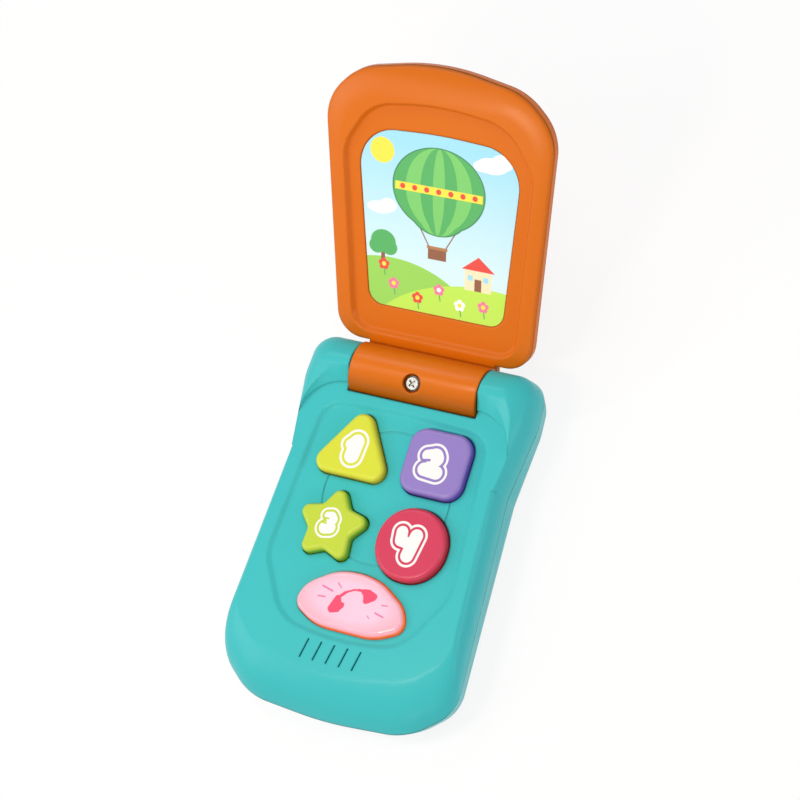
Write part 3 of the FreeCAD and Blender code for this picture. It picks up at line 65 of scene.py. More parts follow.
class Field:
    """A value that changes over a surface: sums and products on it add Math nodes."""

    def __init__(self, tree, socket):
        self.tree = tree
        self.socket = socket

    def node(self, kind, settings, inputs, output=0):
        """Adds any other node: its settings come first, then the values or links of its sockets."""
        made = self.tree.nodes.new(kind)
        for name, value in settings.items():
            setattr(made, name, value)
        for name, value in inputs.items():
            if isinstance(value, Field):
                self.tree.links.new(value.socket, made.inputs[name])
            else:
                made.inputs[name].default_value = value
        return Field(self.tree, made.outputs[output])

    def math(self, operation, *others, clamp=False):
        settings = {"operation": operation, "use_clamp": clamp}
        return self.node("ShaderNodeMath", settings, dict(enumerate((self, *others))))

    def ramp(self, slope=1.0):
        """Rises from 0 at this slope and is held at 1."""
        return self.math("MULTIPLY", slope, clamp=True)

    def vector(self, operation, other, output=0):
        return self.node("ShaderNodeVectorMath", {"operation": operation}, {0: self, 1: other}, output)

    def __add__(self, other):
        return self.math("ADD", other)

    def __sub__(self, other):
        return self.math("SUBTRACT", other)

    def __mul__(self, other):
        return self.math("MULTIPLY", other)

    def __rsub__(self, other):
        return self * -1.0 + other

    __radd__ = __add__
    __rmul__ = __mul__


def finish(name, **constants):
    """A Principled material: gives the material, its shader node and the position on the object."""
    material = bpy.data.materials.new(name)
    material.use_nodes = True
    shader = material.node_tree.nodes["Principled BSDF"]
    for socket, value in constants.items():
        shader.inputs[socket.replace("_", " ")].default_value = value
    coordinates = material.node_tree.nodes.new("ShaderNodeTexCoord")
    return material, shader, Field(material.node_tree, coordinates.outputs["Object"])


def wire(shader, **fields):
    """Links fields to the sockets of a shader."""
    for socket, field in fields.items():
        field.tree.links.new(field.socket, shader.inputs[socket.replace("_", " ")])


def noise(place, scale, detail=2.0):
    return place.node("ShaderNodeTexNoise", {}, {"Vector": place, "Scale": scale, "Detail": detail})


def mixed(share, under, over):
    """The colour `over` laid on the colour `under` where share is 1."""
    settings = {"data_type": "RGBA", "clamp_factor": True}
    factor, first_colour, second_colour, result_colour = 0, 6, 7, 2
    inputs = {factor: share, first_colour: under, second_colour: over}
    return share.node("ShaderNodeMix", settings, inputs, result_colour)


def bumped(height, strength, distance, **normal):
    """Normals of a surface that is raised by a height."""
    inputs = {"Strength": strength, "Distance": distance, "Height": height, **normal}
    return height.node("ShaderNodeBump", {}, inputs)


def eased(place, radius, grain_height=0.07 * MM, grain_scale=2200.0):
    """Normals of an edge that was rounded by the mould, under the fine texture of its surface."""
    edge = place.node("ShaderNodeBevel", {"samples": 8}, {"Radius": radius})
    return bumped(noise(place, grain_scale, 3.0), 0.3, grain_height, Normal=edge)


def pigment(place, colour, shade):
    """Slow drifts of the pigment with a fine speckle in them."""
    return mixed(noise(place, 30.0) * 0.6 + noise(place, 1500.0) * 0.4, shade, colour)


def moulded(name, colour, shade, roughness, edge, gloss=0.3):
    """Satin ABS: a drift of pigment, a fine grain and a roughness that is a little uneven."""
    material, shader, place = finish(name, Specular_IOR_Level=gloss)
    swing = 0.12
    wire(
        shader,
        Base_Color=pigment(place, colour, shade),
        Roughness=noise(place, 140.0) * swing + (roughness - swing / 2),
        Normal=eased(place, edge),
    )
    return material, shader, place


def part_of(place, axis):
    """One coordinate of a position: 0 for x, 1 for y and 2 for z."""
    return place.node("ShaderNodeSeparateXYZ", {}, {0: place}, axis)


def paint_seam_shade(shader, place, height, colours, seam_shade):
    """Paints shade as a dark hair line where the height is 0, standing for the groove where the eased edges
    of two shells meet.
    """
    half_width, strength = 0.3 * MM, 0.9
    line = 1.0 - height.math("ABSOLUTE").ramp(1 / half_width)
    wire(shader, Base_Color=mixed(line * strength, pigment(place, *colours), seam_shade))


WELD_DISTANCE = 0.004 * MM
FLAT_ANGLE = math.radians(0.3)


def welded(node, name, body, material, smooth_angle=28.0):
    """A copy of a CAD node welded into one smooth skin, which stands for that node."""
    bpy.ops.object.select_all(action="DESELECT")
    source = frame["nodes"][node]
    source.select_set(True)
    bpy.context.view_layer.objects.active = source
    bpy.ops.object.duplicate()
    piece = bpy.context.active_object
    piece.name = name
    piece.data.name = name
    del piece["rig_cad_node"]
    bpy.ops.object.mode_set(mode="EDIT")
    bpy.ops.mesh.select_all(action="SELECT")
    bpy.ops.mesh.remove_doubles(threshold=WELD_DISTANCE)
    bpy.ops.mesh.customdata_custom_splitnormals_clear()
    bpy.ops.mesh.dissolve_limited(angle_limit=FLAT_ANGLE)
    bpy.ops.object.mode_set(mode="OBJECT")
    bpy.ops.object.shade_smooth_by_angle(angle=math.radians(smooth_angle))
    flats = piece.modifiers.new("flat faces stay flat", "WEIGHTED_NORMAL")
    flats.mode = "FACE_AREA"
    flats.weight = 100
    flats.keep_sharp = True
    bpy.ops.object.modifier_apply(modifier=flats.name)
    piece.data.materials.clear()
    piece.data.materials.append(material)
    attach(piece, body)
    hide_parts(node)
    return piece


TEAL = ((0.050, 0.475, 0.510, 1), (0.041, 0.435, 0.468, 1))
TEAL_SEAM_SHADE = (0.010, 0.150, 0.160, 1)
teal_abs, shader, place = moulded("teal_satin_abs", *TEAL, roughness=0.33, edge=1.1 * MM, gloss=0.16)
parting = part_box("front_shell")[0].z
# The dark hair line along the parting of the front and back shells is painted shade, in place of the shade
# in the groove between them.
paint_seam_shade(shader, place, part_of(place, 2) - parting, TEAL, TEAL_SEAM_SHADE)
welded("front_shell", "front_housing", "base", teal_abs)

# Back shell. The lower half, in the same teal: the battery bay, the switch pocket and the wells of
# the housing screws are moulded in it, and its rounded foot is what the toy lies on.
welded("back_shell", "back_housing", "base", teal_abs)

# Battery door. A flat plate of the same teal ABS with finger grooves, flush in the underside behind
# a fine gap and held by one captive screw.
welded("battery_door", "battery_door_plate", "base", teal_abs)

# Printed digits. White ink on the key tops: a fat rounded digit and a line round it, with the key's
# own colour between them. A stroke is given by its two ends and its radius, in millimetres.


def millimetres(place):
    """The position across the key tops, in millimetres, with its height taken out."""
    return place.vector("MULTIPLY", (1 / MM, 1 / MM, 0.0))


def stroke(plan, start, end, radius):
    """The distance to the edge of a round-ended stroke, negative inside it."""
    run = Vector((end[0] - start[0], end[1] - start[1], 0))
    reach = plan.vector("SUBTRACT", (start[0], start[1], 0))
    share = reach.vector("DOT_PRODUCT", run, 1).ramp(1 / run.length_squared)
    nearest = share.node("ShaderNodeVectorMath", {"operation": "SCALE"}, {0: run, 3: share})
    return reach.vector("DISTANCE", nearest, 1) - radius


def drawn(plan, strokes):
    """The distance to the edge of several strokes together."""
    distance = stroke(plan, *strokes[0])
    for more in strokes[1:]:
        distance = distance.math("MINIMUM", stroke(plan, *more))
    return distance


def inked(distance, edge=0.07):
    """1 inside a printed shape and 0 outside, with a soft edge."""
    return (0.5 - distance * (0.5 / edge)).math("MAXIMUM", 0.0, clamp=True)


# The strokes of each digit, the notches that part its strokes from each other, the gap between the
# digit and the line round it, and the width of that line.
DIGITS = {
    "key_1_triangle": (
        [((-12.8, 26.4), (-13.2, 21.8), 2.5), ((-15.0, 25.3), (-13.5, 26.9), 1.5)],
        [],
        0.85, 0.8,
    ),
    "key_2_square": (
        [
            ((11.8, 27.4), (13.6, 28.0), 1.8),
            ((14.5, 27.5), (14.9, 26.9), 2.65),
            ((14.9, 26.8), (13.6, 23.6), 2.0),
            ((12.0, 22.8), (16.3, 22.5), 2.15),
        ],
        [((9.6, 25.3), (12.9, 26.0), 0.42), ((18.6, 25.2), (17.2, 24.9), 0.3)],
        0.85, 0.75,
    ),
    "key_3_star": (
        [
            ((-14.7, 1.5), (-13.6, 1.7), 1.2),
            ((-13.4, 1.2), (-12.9, 0.6), 1.8),
            ((-12.9, -2.1), (-14.6, -2.5), 1.95),
        ],
        [((-17.0, 0.5), (-14.2, 0.6), 0.3), ((-17.0, -0.9), (-14.6, -1.0), 0.3)],
        0.75, 0.65,
    ),
    "key_4_circle": (
        [
            ((11.4, 2.0), (11.7, -0.6), 1.95),
            ((11.9, -0.7), (15.4, -1.2), 1.85),
            ((16.4, 1.8), (15.2, -4.9), 2.15),
        ],
        [],
        0.8, 0.75,
    ),
}
INK = (0.80, 0.79, 0.82, 1)
PRINT_LEVEL, PRINT_SLOPE = 23.45 * MM, 20000.0
WALL_LEVEL, WALL_SLOPE = 23.35 * MM, 900.0


def key_plastic(node, colour, shade, shaded_sides):
    """Satin ABS with a printed digit; the sides get a painted shade, a deeper colour, as the light reaches
    them less.
    """
    material, shader, place = moulded(node + "_abs", colour, shade, roughness=0.30, edge=0.7 * MM)
    strokes, notches, gap, line = DIGITS[node]
    plan = millimetres(place)
    distance = drawn(plan, strokes)
    ring = (distance - (gap + line / 2)).math("ABSOLUTE") - line / 2
    if notches:
        distance = distance.math("MAXIMUM", drawn(plan, notches) * -1.0)
    height = part_of(place, 2)
    shaded_wall = (WALL_LEVEL - height).ramp(WALL_SLOPE)
    body = mixed(shaded_wall, pigment(place, colour, shade), shaded_sides)
    printed = inked(distance).math("MAXIMUM", inked(ring))
    top = (height - PRINT_LEVEL).ramp(PRINT_SLOPE)
    wire(shader, Base_Color=mixed(printed * top, body, INK))
    return material


# Four number keys. Hollow ABS caps, each in its own colour and outline, with a flange under the panel
# and a plunger on a rubber dome.
# The third colour of each key is the painted shade of its sides.
KEY_COLOURS = {
    "key_1_triangle": (
        (0.610, 0.650, 0.040, 1), (0.570, 0.610, 0.035, 1), (0.640, 0.520, 0.020, 1),
        "yellow_plastic",
    ),
    "key_2_square": (
        (0.262, 0.190, 0.520, 1), (0.238, 0.165, 0.485, 1), (0.140, 0.060, 0.400, 1),
        "purple_plastic",
    ),
    "key_3_star": (
        (0.480, 0.600, 0.045, 1), (0.440, 0.560, 0.040, 1), (0.200, 0.460, 0.020, 1),
        "lime_plastic",
    ),
    "key_4_circle": (
        (0.570, 0.042, 0.100, 1), (0.535, 0.034, 0.088, 1), (0.600, 0.014, 0.034, 1),
        "red_plastic",
    ),
}
KEY_SMOOTHING = 30.0
for node, (colour, shade, shaded_sides, slot) in KEY_COLOURS.items():
    plastic = key_plastic(node, colour, shade, shaded_sides)
    welded(node, node + "_cap", node, plastic, KEY_SMOOTHING)

# Call button. One cap of translucent pale pink over two lamps, with a printed handset and six short
# dashes round it. Where it leaves the panel it has an orange rim, with a painted glow against the gap's
# shade.
CALL_PINK = ((0.900, 0.560, 0.700, 1), (0.870, 0.520, 0.670, 1))
call_pink, shader, place = moulded("call_pink_translucent", *CALL_PINK, roughness=0.20, edge=0.8 * MM)
shader.inputs["Subsurface Weight"].default_value = 0.12
shader.inputs["Subsurface Radius"].default_value = (4 * MM, 2 * MM, 2 * MM)
shader.inputs["Coat Weight"].default_value = 0.5
shader.inputs["Coat Roughness"].default_value = 0.08
plan = millimetres(place)
handset = drawn(plan, [
    ((-4.3, -26.8), (-2.4, -26.2), 1.05),
    ((-2.4, -26.2), (-1.3, -25.0), 0.8),
    ((-2.8, -25.3), (-1.3, -24.6), 0.85),
    ((-4.7, -26.5), (-3.3, -22.8), 0.95),
    ((-2.8, -24.9), (-2.9, -23.2), 0.95),
    ((-3.0, -24.3), (-2.3, -23.9), 0.7),
    ((-3.1, -22.6), (-1.3, -20.6), 0.5),
    ((-2.1, -21.4), (-0.6, -20.1), 0.38),
    ((-1.3, -20.5), (1.4, -19.1), 0.32),
    ((1.4, -19.1), (3.8, -18.7), 0.32),
    ((2.9, -18.8), (4.6, -18.8), 0.45),
    ((4.8, -19.0), (6.4, -18.8), 0.95),
    ((6.5, -19.0), (8.5, -19.7), 1.05),
    ((6.2, -21.5), (8.3, -20.1), 1.05),
    ((5.7, -19.9), (6.2, -21.3), 1.0),
])
dashes = drawn(plan, [
    ((-9.4, -20.2), (-5.7, -21.1), 0.3),
    ((-4.6, -18.2), (-3.2, -19.4), 0.22),
    ((-10.0, -23.6), (-7.6, -23.4), 0.26),
    ((11.8, -21.7), (13.6, -21.5), 0.22),
    ((10.4, -24.5), (13.3, -25.2), 0.28),
    ((8.1, -26.0), (8.9, -26.6), 0.18),
])
low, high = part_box("call_button")
middle = (low + high) * 0.5 / MM
HALF_WIDTH, HALF_DEPTH = 18.5, 9.5
outward = plan.vector("SUBTRACT", (middle.x, middle.y, 0))
outward = outward.vector("MULTIPLY", (1 / HALF_WIDTH, 1 / HALF_DEPTH, 0))
MARGIN_START, MARGIN_SLOPE, MARGIN_STRENGTH = 0.60, 2.0, 0.85
margin = (outward.vector("LENGTH", (0, 0, 0), 1) - MARGIN_START).ramp(MARGIN_SLOPE)
flesh = mixed(noise(place, 90.0), (0.740, 0.490, 0.650, 1), (0.800, 0.560, 0.720, 1))
pink = mixed(margin * MARGIN_STRENGTH, flesh, (0.930, 0.330, 0.410, 1))
pink = mixed(inked(dashes, 0.12) * 0.85, pink, (0.700, 0.110, 0.300, 1))
pink = mixed(inked(handset, 0.09), pink, (0.930, 0.060, 0.150, 1))
RIM_TOP, RIM_SLOPE = 22.18 * MM, 4000.0
rim_and_glow = (RIM_TOP - part_of(place, 2)).ramp(RIM_SLOPE)
# The orange rim is the cap's own colour. Its emission is a painted glow that lifts the rim out of the shade
# in the gap under the panel; the lamps inside are not lit.
wire(
    shader,
    Base_Color=mixed(rim_and_glow, pink, (0.980, 0.200, 0.060, 1)),
    Emission_Color=mixed(rim_and_glow, (0, 0, 0, 1), (0.900, 0.110, 0.030, 1)),
)
shader.inputs["Emission Strength"].default_value = 0.45
welded("call_button", "call_button_cap", "call_button", call_pink, KEY_SMOOTHING)

# Lid. An orange frame with the hinge barrel, sunk for the picture, its border slightly crowned, and a
# dished cover behind it. The lid's own plan is in millimetres: x across, y away from the hinge, z up.
ORANGE = ((0.635, 0.148, 0.002, 1), (0.595, 0.126, 0.002, 1))
ORANGE_SEAM_SHADE = (0.330, 0.045, 0.004, 1)
LID_EDGE = 0.9 * MM
OPEN_ANGLE = math.radians(37.2)
low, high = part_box("hinge_pin")
axis = (low + high) / 2


def lid_plan(place):
    """The position on the lid laid flat, counted from the hinge axis."""
    inputs = {
        "Vector": place,
        "Location": (0, axis.y, axis.z),
        "Rotation": (OPEN_ANGLE, 0, 0),
        "Scale": (MM, MM, MM),
    }
    return place.node("ShaderNodeMapping", {"vector_type": "TEXTURE"}, inputs)


orange_abs, shader, place = moulded("orange_satin_abs", *ORANGE, roughness=0.34, edge=LID_EDGE, gloss=0.22)
flat = lid_plan(place)
SEAM_LEVEL, BARREL_REACH = -9.0, 12.0
off_the_barrel = (BARREL_REACH - part_of(flat, 1)).math("MAXIMUM", 0.0)
above_the_seam = part_of(flat, 2) + off_the_barrel - SEAM_LEVEL
# The dark hair line where the lid's frame meets its cover is painted shade, in place of the shade in the
# groove between them.
paint_seam_shade(shader, place, above_the_seam * MM, ORANGE, ORANGE_SEAM_SHADE)

# The border of the lid, as the distance from a core that widens away from the hinge. The crown rises
# with the square of it, on the front face alone.
CORE_MIDDLE, CORE_HALF_LENGTH, CORE_HALF_WIDTH, CORE_FLARE = 50.3, 25.2, 17.2, 0.055
BORDER_START, FRONT_LEVEL, CROWN = 14.0, -7.0, -0.022
from_middle = part_of(flat, 1) - CORE_MIDDLE
core_half_width = from_middle * CORE_FLARE + CORE_HALF_WIDTH
beside = (part_of(flat, 0).math("ABSOLUTE") - core_half_width).math("MAXIMUM", 0.0)
beyond = (from_middle.math("ABSOLUTE") - CORE_HALF_LENGTH).math("MAXIMUM", 0.0)
border = ((beside * beside + beyond * beyond).math("SQRT") - BORDER_START).math("MAXIMUM", 0.0)
front = (part_of(flat, 2) - FRONT_LEVEL).ramp()
wire(shader, Normal=bumped(border * border * front * CROWN, 1.0, MM, Normal=eased(place, LID_EDGE)))
welded("lid_frame", "lid_front", "lid", orange_abs)
welded("lid_cover", "lid_back", "lid", orange_abs)

# Picture label. A printed card under a gloss film, laid in the lid: a hot-air balloon over green
# hills with a cottage and flowers. Its plan is in millimetres, x across and y away from the hinge.
LABEL = {"Specular_IOR_Level": 0.25, "Coat_Weight": 0.1, "Coat_Roughness": 0.15}
label_card, shader, place = finish("printed_card", **LABEL)
plan = lid_plan(place).vector("MULTIPLY", (1, 1, 0))


def oval(x, y, width, height):
    """The distance to the edge of an ellipse, about true near its edge."""
    unit = plan.vector("SUBTRACT", (x, y, 0)).vector("MULTIPLY", (1 / width, 1 / height, 0))
    return (unit.vector("LENGTH", (0, 0, 0), 1) - 1.0) * min(width, height)


def slab(x, y, half_width, half_height):
    """The distance to the edge of an upright rectangle."""
    reach = plan.vector("SUBTRACT", (x, y, 0)).vector("ABSOLUTE", (0, 0, 0))
    reach = reach.vector("SUBTRACT", (half_width, half_height, 0))
    return part_of(reach, 0).math("MAXIMUM", part_of(reach, 1))


def union(shapes, operation="MINIMUM"):
    """Several shapes as one, or with "MAXIMUM" only what they share."""
    whole = shapes[0]
    for shape in shapes[1:]:
        whole = whole.math(operation, shape)
    return whole


def balloon(share):
    """The envelope of the balloon, or one of its gores where the share of its width is under 1."""
    return union([oval(0.0, 62.0, 16.0 * share, 13.6), oval(0.0, 54.0, 9.6 * share, 7.0)])


def dot(x, y, radius):
    """The distance to the edge of a round spot."""
    return oval(x, y, radius, radius)


GREEN = (0.075, 0.400, 0.100, 1)
LEAF = (0.180, 0.560, 0.130, 1)
BARK = (0.260, 0.085, 0.030, 1)
RED = (0.760, 0.050, 0.030, 1)
LEMON = (0.900, 0.740, 0.050, 1)
WHITE = (0.920, 0.930, 0.940, 1)
ROSE = (0.860, 0.180, 0.330, 1)
BLUE = (0.330, 0.690, 0.880, 1)
across = part_of(plan, 0)
along = part_of(plan, 1)
roof = [(across - 14.5).math("ABSOLUTE") * 0.62 + (along - 42.6) * 0.78, 38.0 - along]
LAYERS = [
    (union([oval(18.0, 73.0, 5.2, 2.6), oval(21.5, 74.6, 3.6, 2.6), oval(14.6, 72.4, 3.0, 1.8)]), WHITE),
    (union([oval(-20.5, 53.0, 4.4, 2.0), oval(-17.5, 54.2, 3.0, 2.2)]), WHITE),
    (dot(-20.0, 72.0, 4.2), LEMON),
    (oval(-16.0, 10.0, 34.0, 27.0), (0.300, 0.620, 0.080, 1)),
    (oval(18.0, 4.0, 44.0, 28.5), (0.500, 0.780, 0.070, 1)),
    (slab(-19.0, 37.0, 0.7, 3.0), BARK),
    (union([oval(-19.0, 42.0, 4.4, 3.8), oval(-21.2, 40.2, 2.8, 2.6), oval(-16.8, 40.2, 2.8, 2.6)]), GREEN),
    (slab(14.5, 34.6, 4.6, 3.4), (0.900, 0.760, 0.500, 1)),
    (union(roof, "MAXIMUM"), RED),
    (slab(14.5, 33.2, 1.2, 2.0), BARK),
    (slab(11.8, 35.4, 0.9, 0.9), BLUE),
    (slab(17.2, 35.4, 0.9, 0.9), BLUE),
    (stroke(plan, (-6.6, 49.5), (-2.6, 42.6), 0.2), BARK),
    (stroke(plan, (6.6, 49.5), (2.6, 42.6), 0.2), BARK),
    (slab(0.0, 41.0, 3.2, 2.0), BARK),
    (slab(0.0, 42.9, 3.6, 0.5), (0.420, 0.180, 0.060, 1)),
    (balloon(1.0), GREEN),
    (balloon(0.72), LEAF),
    (balloon(0.40), GREEN),
    (balloon(0.13), LEAF),
    (union([slab(0.0, 61.5, 15.2, 1.3), balloon(1.0)], "MAXIMUM"), LEMON),
    (union([dot(x, 61.5, 0.9) for x in (-12.6, -8.4, -4.2, 0.0, 4.2, 8.4, 12.6)]), RED),
    (balloon(1.0).math("ABSOLUTE") - 0.16, (0.020, 0.170, 0.050, 1)),
]
PETALS, PETAL_REACH, PETAL_RADIUS, HEART_RADIUS = 5, 1.15, 0.85, 0.75
for x, y, petal, heart in (
    (-15.0, 28.5, ROSE, LEMON),
    (-6.5, 25.2, RED, LEMON),
    (1.0, 29.2, ROSE, WHITE),
    (8.4, 25.4, WHITE, LEMON),
    (16.6, 26.4, ROSE, LEMON),
    (-18.6, 34.4, RED, LEMON),
):
    turns = [math.radians(90 + 360 * number / PETALS) for number in range(PETALS)]
    places = [(x + PETAL_REACH * math.cos(turn), y + PETAL_REACH * math.sin(turn)) for turn in turns]
    LAYERS.append((stroke(plan, (x, y - 0.5), (x + 0.5, y - 3.6), 0.2), GREEN))
    LAYERS.append((union([dot(*spot, PETAL_RADIUS) for spot in places]), petal))
    LAYERS.append((dot(x, y, HEART_RADIUS), heart))
HORIZON, SKY_DEPTH = 36.0, 40.0
picture = mixed((along - HORIZON).ramp(1 / SKY_DEPTH), (0.640, 0.830, 0.900, 1), BLUE)
for distance, colour in LAYERS:
    picture = mixed(inked(distance, 0.10), picture, colour)
wire(
    shader,
    Base_Color=mixed(noise(place, 2600.0, 1.0) * 0.10, picture, (0.45, 0.62, 0.66, 1)),
    Roughness=noise(place, 220.0) * 0.08 + 0.28,
    Normal=bumped(noise(place, 3000.0), 0.15, 0.02 * MM),
)
frame["nodes"]["picture_label"].data.materials[0] = label_card

# Screws. Zinc-plated pan heads with a cross recess: four through the back shell, one that holds the
# battery door and one in the hinge barrel. The recess is punched into the turned blank.
zinc, shader, place = finish("zinc_plated_steel", Metallic=1.0)
wire(
    shader,
    Base_Color=mixed(noise(place, 900.0), (0.220, 0.235, 0.240, 1), (0.340, 0.350, 0.350, 1)),
    Roughness=noise(place, 1400.0) * 0.25 + 0.25,
    Normal=eased(place, 0.18 * MM, 0.04 * MM, 3000.0),
)

BLADE = (2.6 * MM, 0.55 * MM, 1.6 * MM)
HEAD_SMOOTHING = 40.0


def punched(node, name, body, heads, lean=0.0):
    """A welded screw node with a cross cut in each head; heads are the middles of their outer faces."""
    piece = welded(node, name, body, zinc, HEAD_SMOOTHING)
    for middle in heads:
        for turn in (45, 135):
            bpy.ops.mesh.primitive_cube_add(size=1.0, location=middle)
            blade = bpy.context.active_object
            blade.scale = BLADE
            bpy.ops.object.transform_apply(location=False, rotation=False, scale=True)
            across_head = Matrix.Rotation(math.radians(turn), 3, "Z")
            blade.rotation_euler = (Matrix.Rotation(lean, 3, "X") @ across_head).to_euler()
            bpy.ops.object.transform_apply(location=True, rotation=True, scale=True)
            punch = piece.modifiers.new("cross recess", "BOOLEAN")
            punch.operation = "DIFFERENCE"
            punch.object = blade
            bpy.ops.object.select_all(action="DESELECT")
            piece.select_set(True)
            bpy.context.view_layer.objects.active = piece
            bpy.ops.object.modifier_apply(modifier=punch.name)
            bpy.data.objects.remove(blade)
    return piece


HEAD_RADIUS = 2.2 * MM
FRONT_SCREW_X = 29.5 * MM
low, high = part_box("housing_screws")
punched("housing_screws", "housing_screw_set", "base", [
    (side * x, y, low.z)
    for x, y in ((high.x - HEAD_RADIUS, high.y - HEAD_RADIUS), (FRONT_SCREW_X, low.y + HEAD_RADIUS))
    for side in (-1, 1)
])
low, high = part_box("battery_door_screw")
punched("battery_door_screw", "door_screw", "base", [(0, (low.y + high.y) / 2, low.z)])
BARREL_RADIUS = 8.5 * MM
outward_angle = math.radians(72.0) + OPEN_ANGLE
barrel_head = (
    0,
    axis.y + BARREL_RADIUS * math.cos(outward_angle),
    axis.z + BARREL_RADIUS * math.sin(outward_angle),
)
punched("barrel_screw", "hinge_screw", "lid", [barrel_head], outward_angle - math.pi / 2)

# Small screws. The screws of the main board, of the switch board and of the lid, out of sight inside:
# cold-headed steel with the same zinc plating, left as the CAD model has them.
for node in ("board_screws", "switch_screws", "lid_screws"):
    frame["nodes"][node].data.materials[0] = zinc


# Metal inside. The drawn hinge pin, the tinplate speaker basket and the nickel contacts and springs:
# rolled or drawn sheet and wire with fine lines along them.
def metal(name, colour, shade, roughness):
    """Bare metal with fine drawing lines along x."""
    material, shader, place = finish(name, Metallic=1.0)
    lines = noise(place.vector("MULTIPLY", (0.05, 1.0, 1.0)), 4000.0)
    wire(shader, Base_Color=mixed(lines, shade, colour), Roughness=lines * 0.15 + roughness)
    return material


for node, colour, shade, roughness in (
    ("hinge_pin", (0.62, 0.62, 0.62, 1), (0.50, 0.50, 0.51, 1), 0.20),
    ("speaker_basket", (0.55, 0.56, 0.57, 1), (0.44, 0.45, 0.46, 1), 0.32),
    ("contact_plates", (0.70, 0.69, 0.65, 1), (0.60, 0.58, 0.53, 1), 0.22),
    ("contact_springs", (0.70, 0.69, 0.65, 1), (0.60, 0.58, 0.53, 1), 0.22),
):
    frame["nodes"][node].data.materials[0] = metal(node + "_metal", colour, shade, roughness)


# Moulded and cast pieces inside. Domes of silicone rubber, nylon washers, foam, ferrite, pressed
# paper, resin and casings: dull surfaces, each with its own speckle and depth of grain.
def dull(name, colour, shade, scale, roughness, depth):
    """A dull stuff: its speckle and its grain share one pattern of this scale, and depth is in mm."""
    material, shader, place = finish(name, Specular_IOR_Level=0.35)
    grain = noise(place, scale, 4.0)
    wire(
        shader,
        Base_Color=mixed(grain, shade, colour),
        Roughness=grain * 0.2 + roughness,
        Normal=bumped(grain, 0.5, depth * MM),
    )
    return material


rubber = dull("grey_silicone", (0.46, 0.46, 0.45, 1), (0.40, 0.40, 0.40, 1), 700.0, 0.50, 0.03)
casing = dull("blue_casing", (0.10, 0.13, 0.26, 1), (0.07, 0.09, 0.19, 1), 900.0, 0.35, 0.02)
DULL = {"board_components": casing, **{f"rubber_dome_{number}": rubber for number in range(1, 6)}}
for node, colour, shade, scale, roughness, depth in (
    ("hinge_washers", (0.85, 0.84, 0.79, 1), (0.78, 0.77, 0.71, 1), 800.0, 0.40, 0.02),
    ("speaker_gasket", (0.060, 0.060, 0.062, 1), (0.020, 0.020, 0.022, 1), 3500.0, 0.75, 0.12),
    ("speaker_magnet", (0.095, 0.095, 0.105, 1), (0.060, 0.060, 0.066, 1), 2600.0, 0.50, 0.05),
    ("speaker_cone", (0.060, 0.056, 0.052, 1), (0.030, 0.028, 0.026, 1), 1800.0, 0.70, 0.06),
    ("sound_chip", (0.020, 0.020, 0.021, 1), (0.010, 0.010, 0.011, 1), 2200.0, 0.38, 0.03),
    ("slide_switch", (0.050, 0.050, 0.055, 1), (0.030, 0.030, 0.034, 1), 1500.0, 0.40, 0.02),
):
    DULL[node] = dull(node + "_stuff", colour, shade, scale, roughness, depth)
for node, material in DULL.items():
    frame["nodes"][node].data.materials[0] = material

# Power slider. A black nylon knob with four finger grooves, moulded in one piece. It slides in a
# pocket of the underside and takes the lever of the switch with it.
nylon = dull("black_nylon", (0.045, 0.045, 0.050, 1), (0.030, 0.030, 0.034, 1), 1800.0, 0.42, 0.03)
welded("power_slider", "power_slider_knob", "power_slider", nylon)

# Circuit boards. Phenolic laminate under a green solder mask, through which the copper shows as a
# grid of paler lines. The main board and the small board of the switch are cut from the same sheet.
laminate, shader, place = finish("green_laminate", Specular_IOR_Level=0.5)
BLACK, PALE = (0, 0, 0, 1), (1, 1, 1, 1)
tracks = {"Scale": 260.0, "Mortar Size": 0.03, "Color1": BLACK, "Color2": BLACK, "Mortar": PALE}
grid = place.node("ShaderNodeTexBrick", {}, {"Vector": place, **tracks})
mask = mixed(noise(place, 500.0), (0.025, 0.190, 0.065, 1), (0.045, 0.240, 0.085, 1))
wire(
    shader,
    Base_Color=mixed(grid * 0.5, mask, (0.10, 0.36, 0.14, 1)),
    Roughness=noise(place, 900.0) * 0.1 + 0.28,
)
for node in ("main_board", "switch_board"):
    frame["nodes"][node].data.materials[0] = laminate

# Lamps of the call button. Two small domed lenses cast in clear red epoxy, soldered to the main board
# and not lit.
lens, shader, place = finish("red_epoxy", Transmission_Weight=0.4, Specular_IOR_Level=0.5)
wire(
    shader,
    Base_Color=mixed(noise(place, 1200.0), (0.78, 0.10, 0.08, 1), (0.86, 0.16, 0.12, 1)),
    Roughness=noise(place, 900.0) * 0.05 + 0.08,
)
frame["nodes"]["call_leds"].data.materials[0] = lens

# Batteries. Two AAA cells in plain two-tone jackets: a dark body and a copper-coloured band at the
# end with the nub, which points to opposite sides in the two.
BAND_START, NUB_START, BAND_SLOPE = 13.5 * MM, 24.5 * MM, 8000.0
for node, side in (("battery_1", 1), ("battery_2", -1)):
    jacket, shader, place = finish(node + "_jacket", Metallic=0.7)
    to_the_nub = part_of(place, 0) * side
    band = (to_the_nub - BAND_START).ramp(BAND_SLOPE)
    bare = (to_the_nub - NUB_START).ramp(BAND_SLOPE)
    body = mixed(noise(place, 400.0), (0.030, 0.034, 0.040, 1), (0.045, 0.050, 0.058, 1))
    wire(
        shader,
        Base_Color=mixed(bare, mixed(band, body, (0.620, 0.300, 0.130, 1)), (0.62, 0.62, 0.60, 1)),
        Roughness=noise(place, 700.0) * 0.1 + 0.25,
    )
    frame["nodes"][node].data.materials[0] = jacket

# Studio. A pale sheet of paper under the toy, soft lamps and an even sky, seen from above. Paper and
# sky look white to the camera and in reflections, and light the toy less than that.


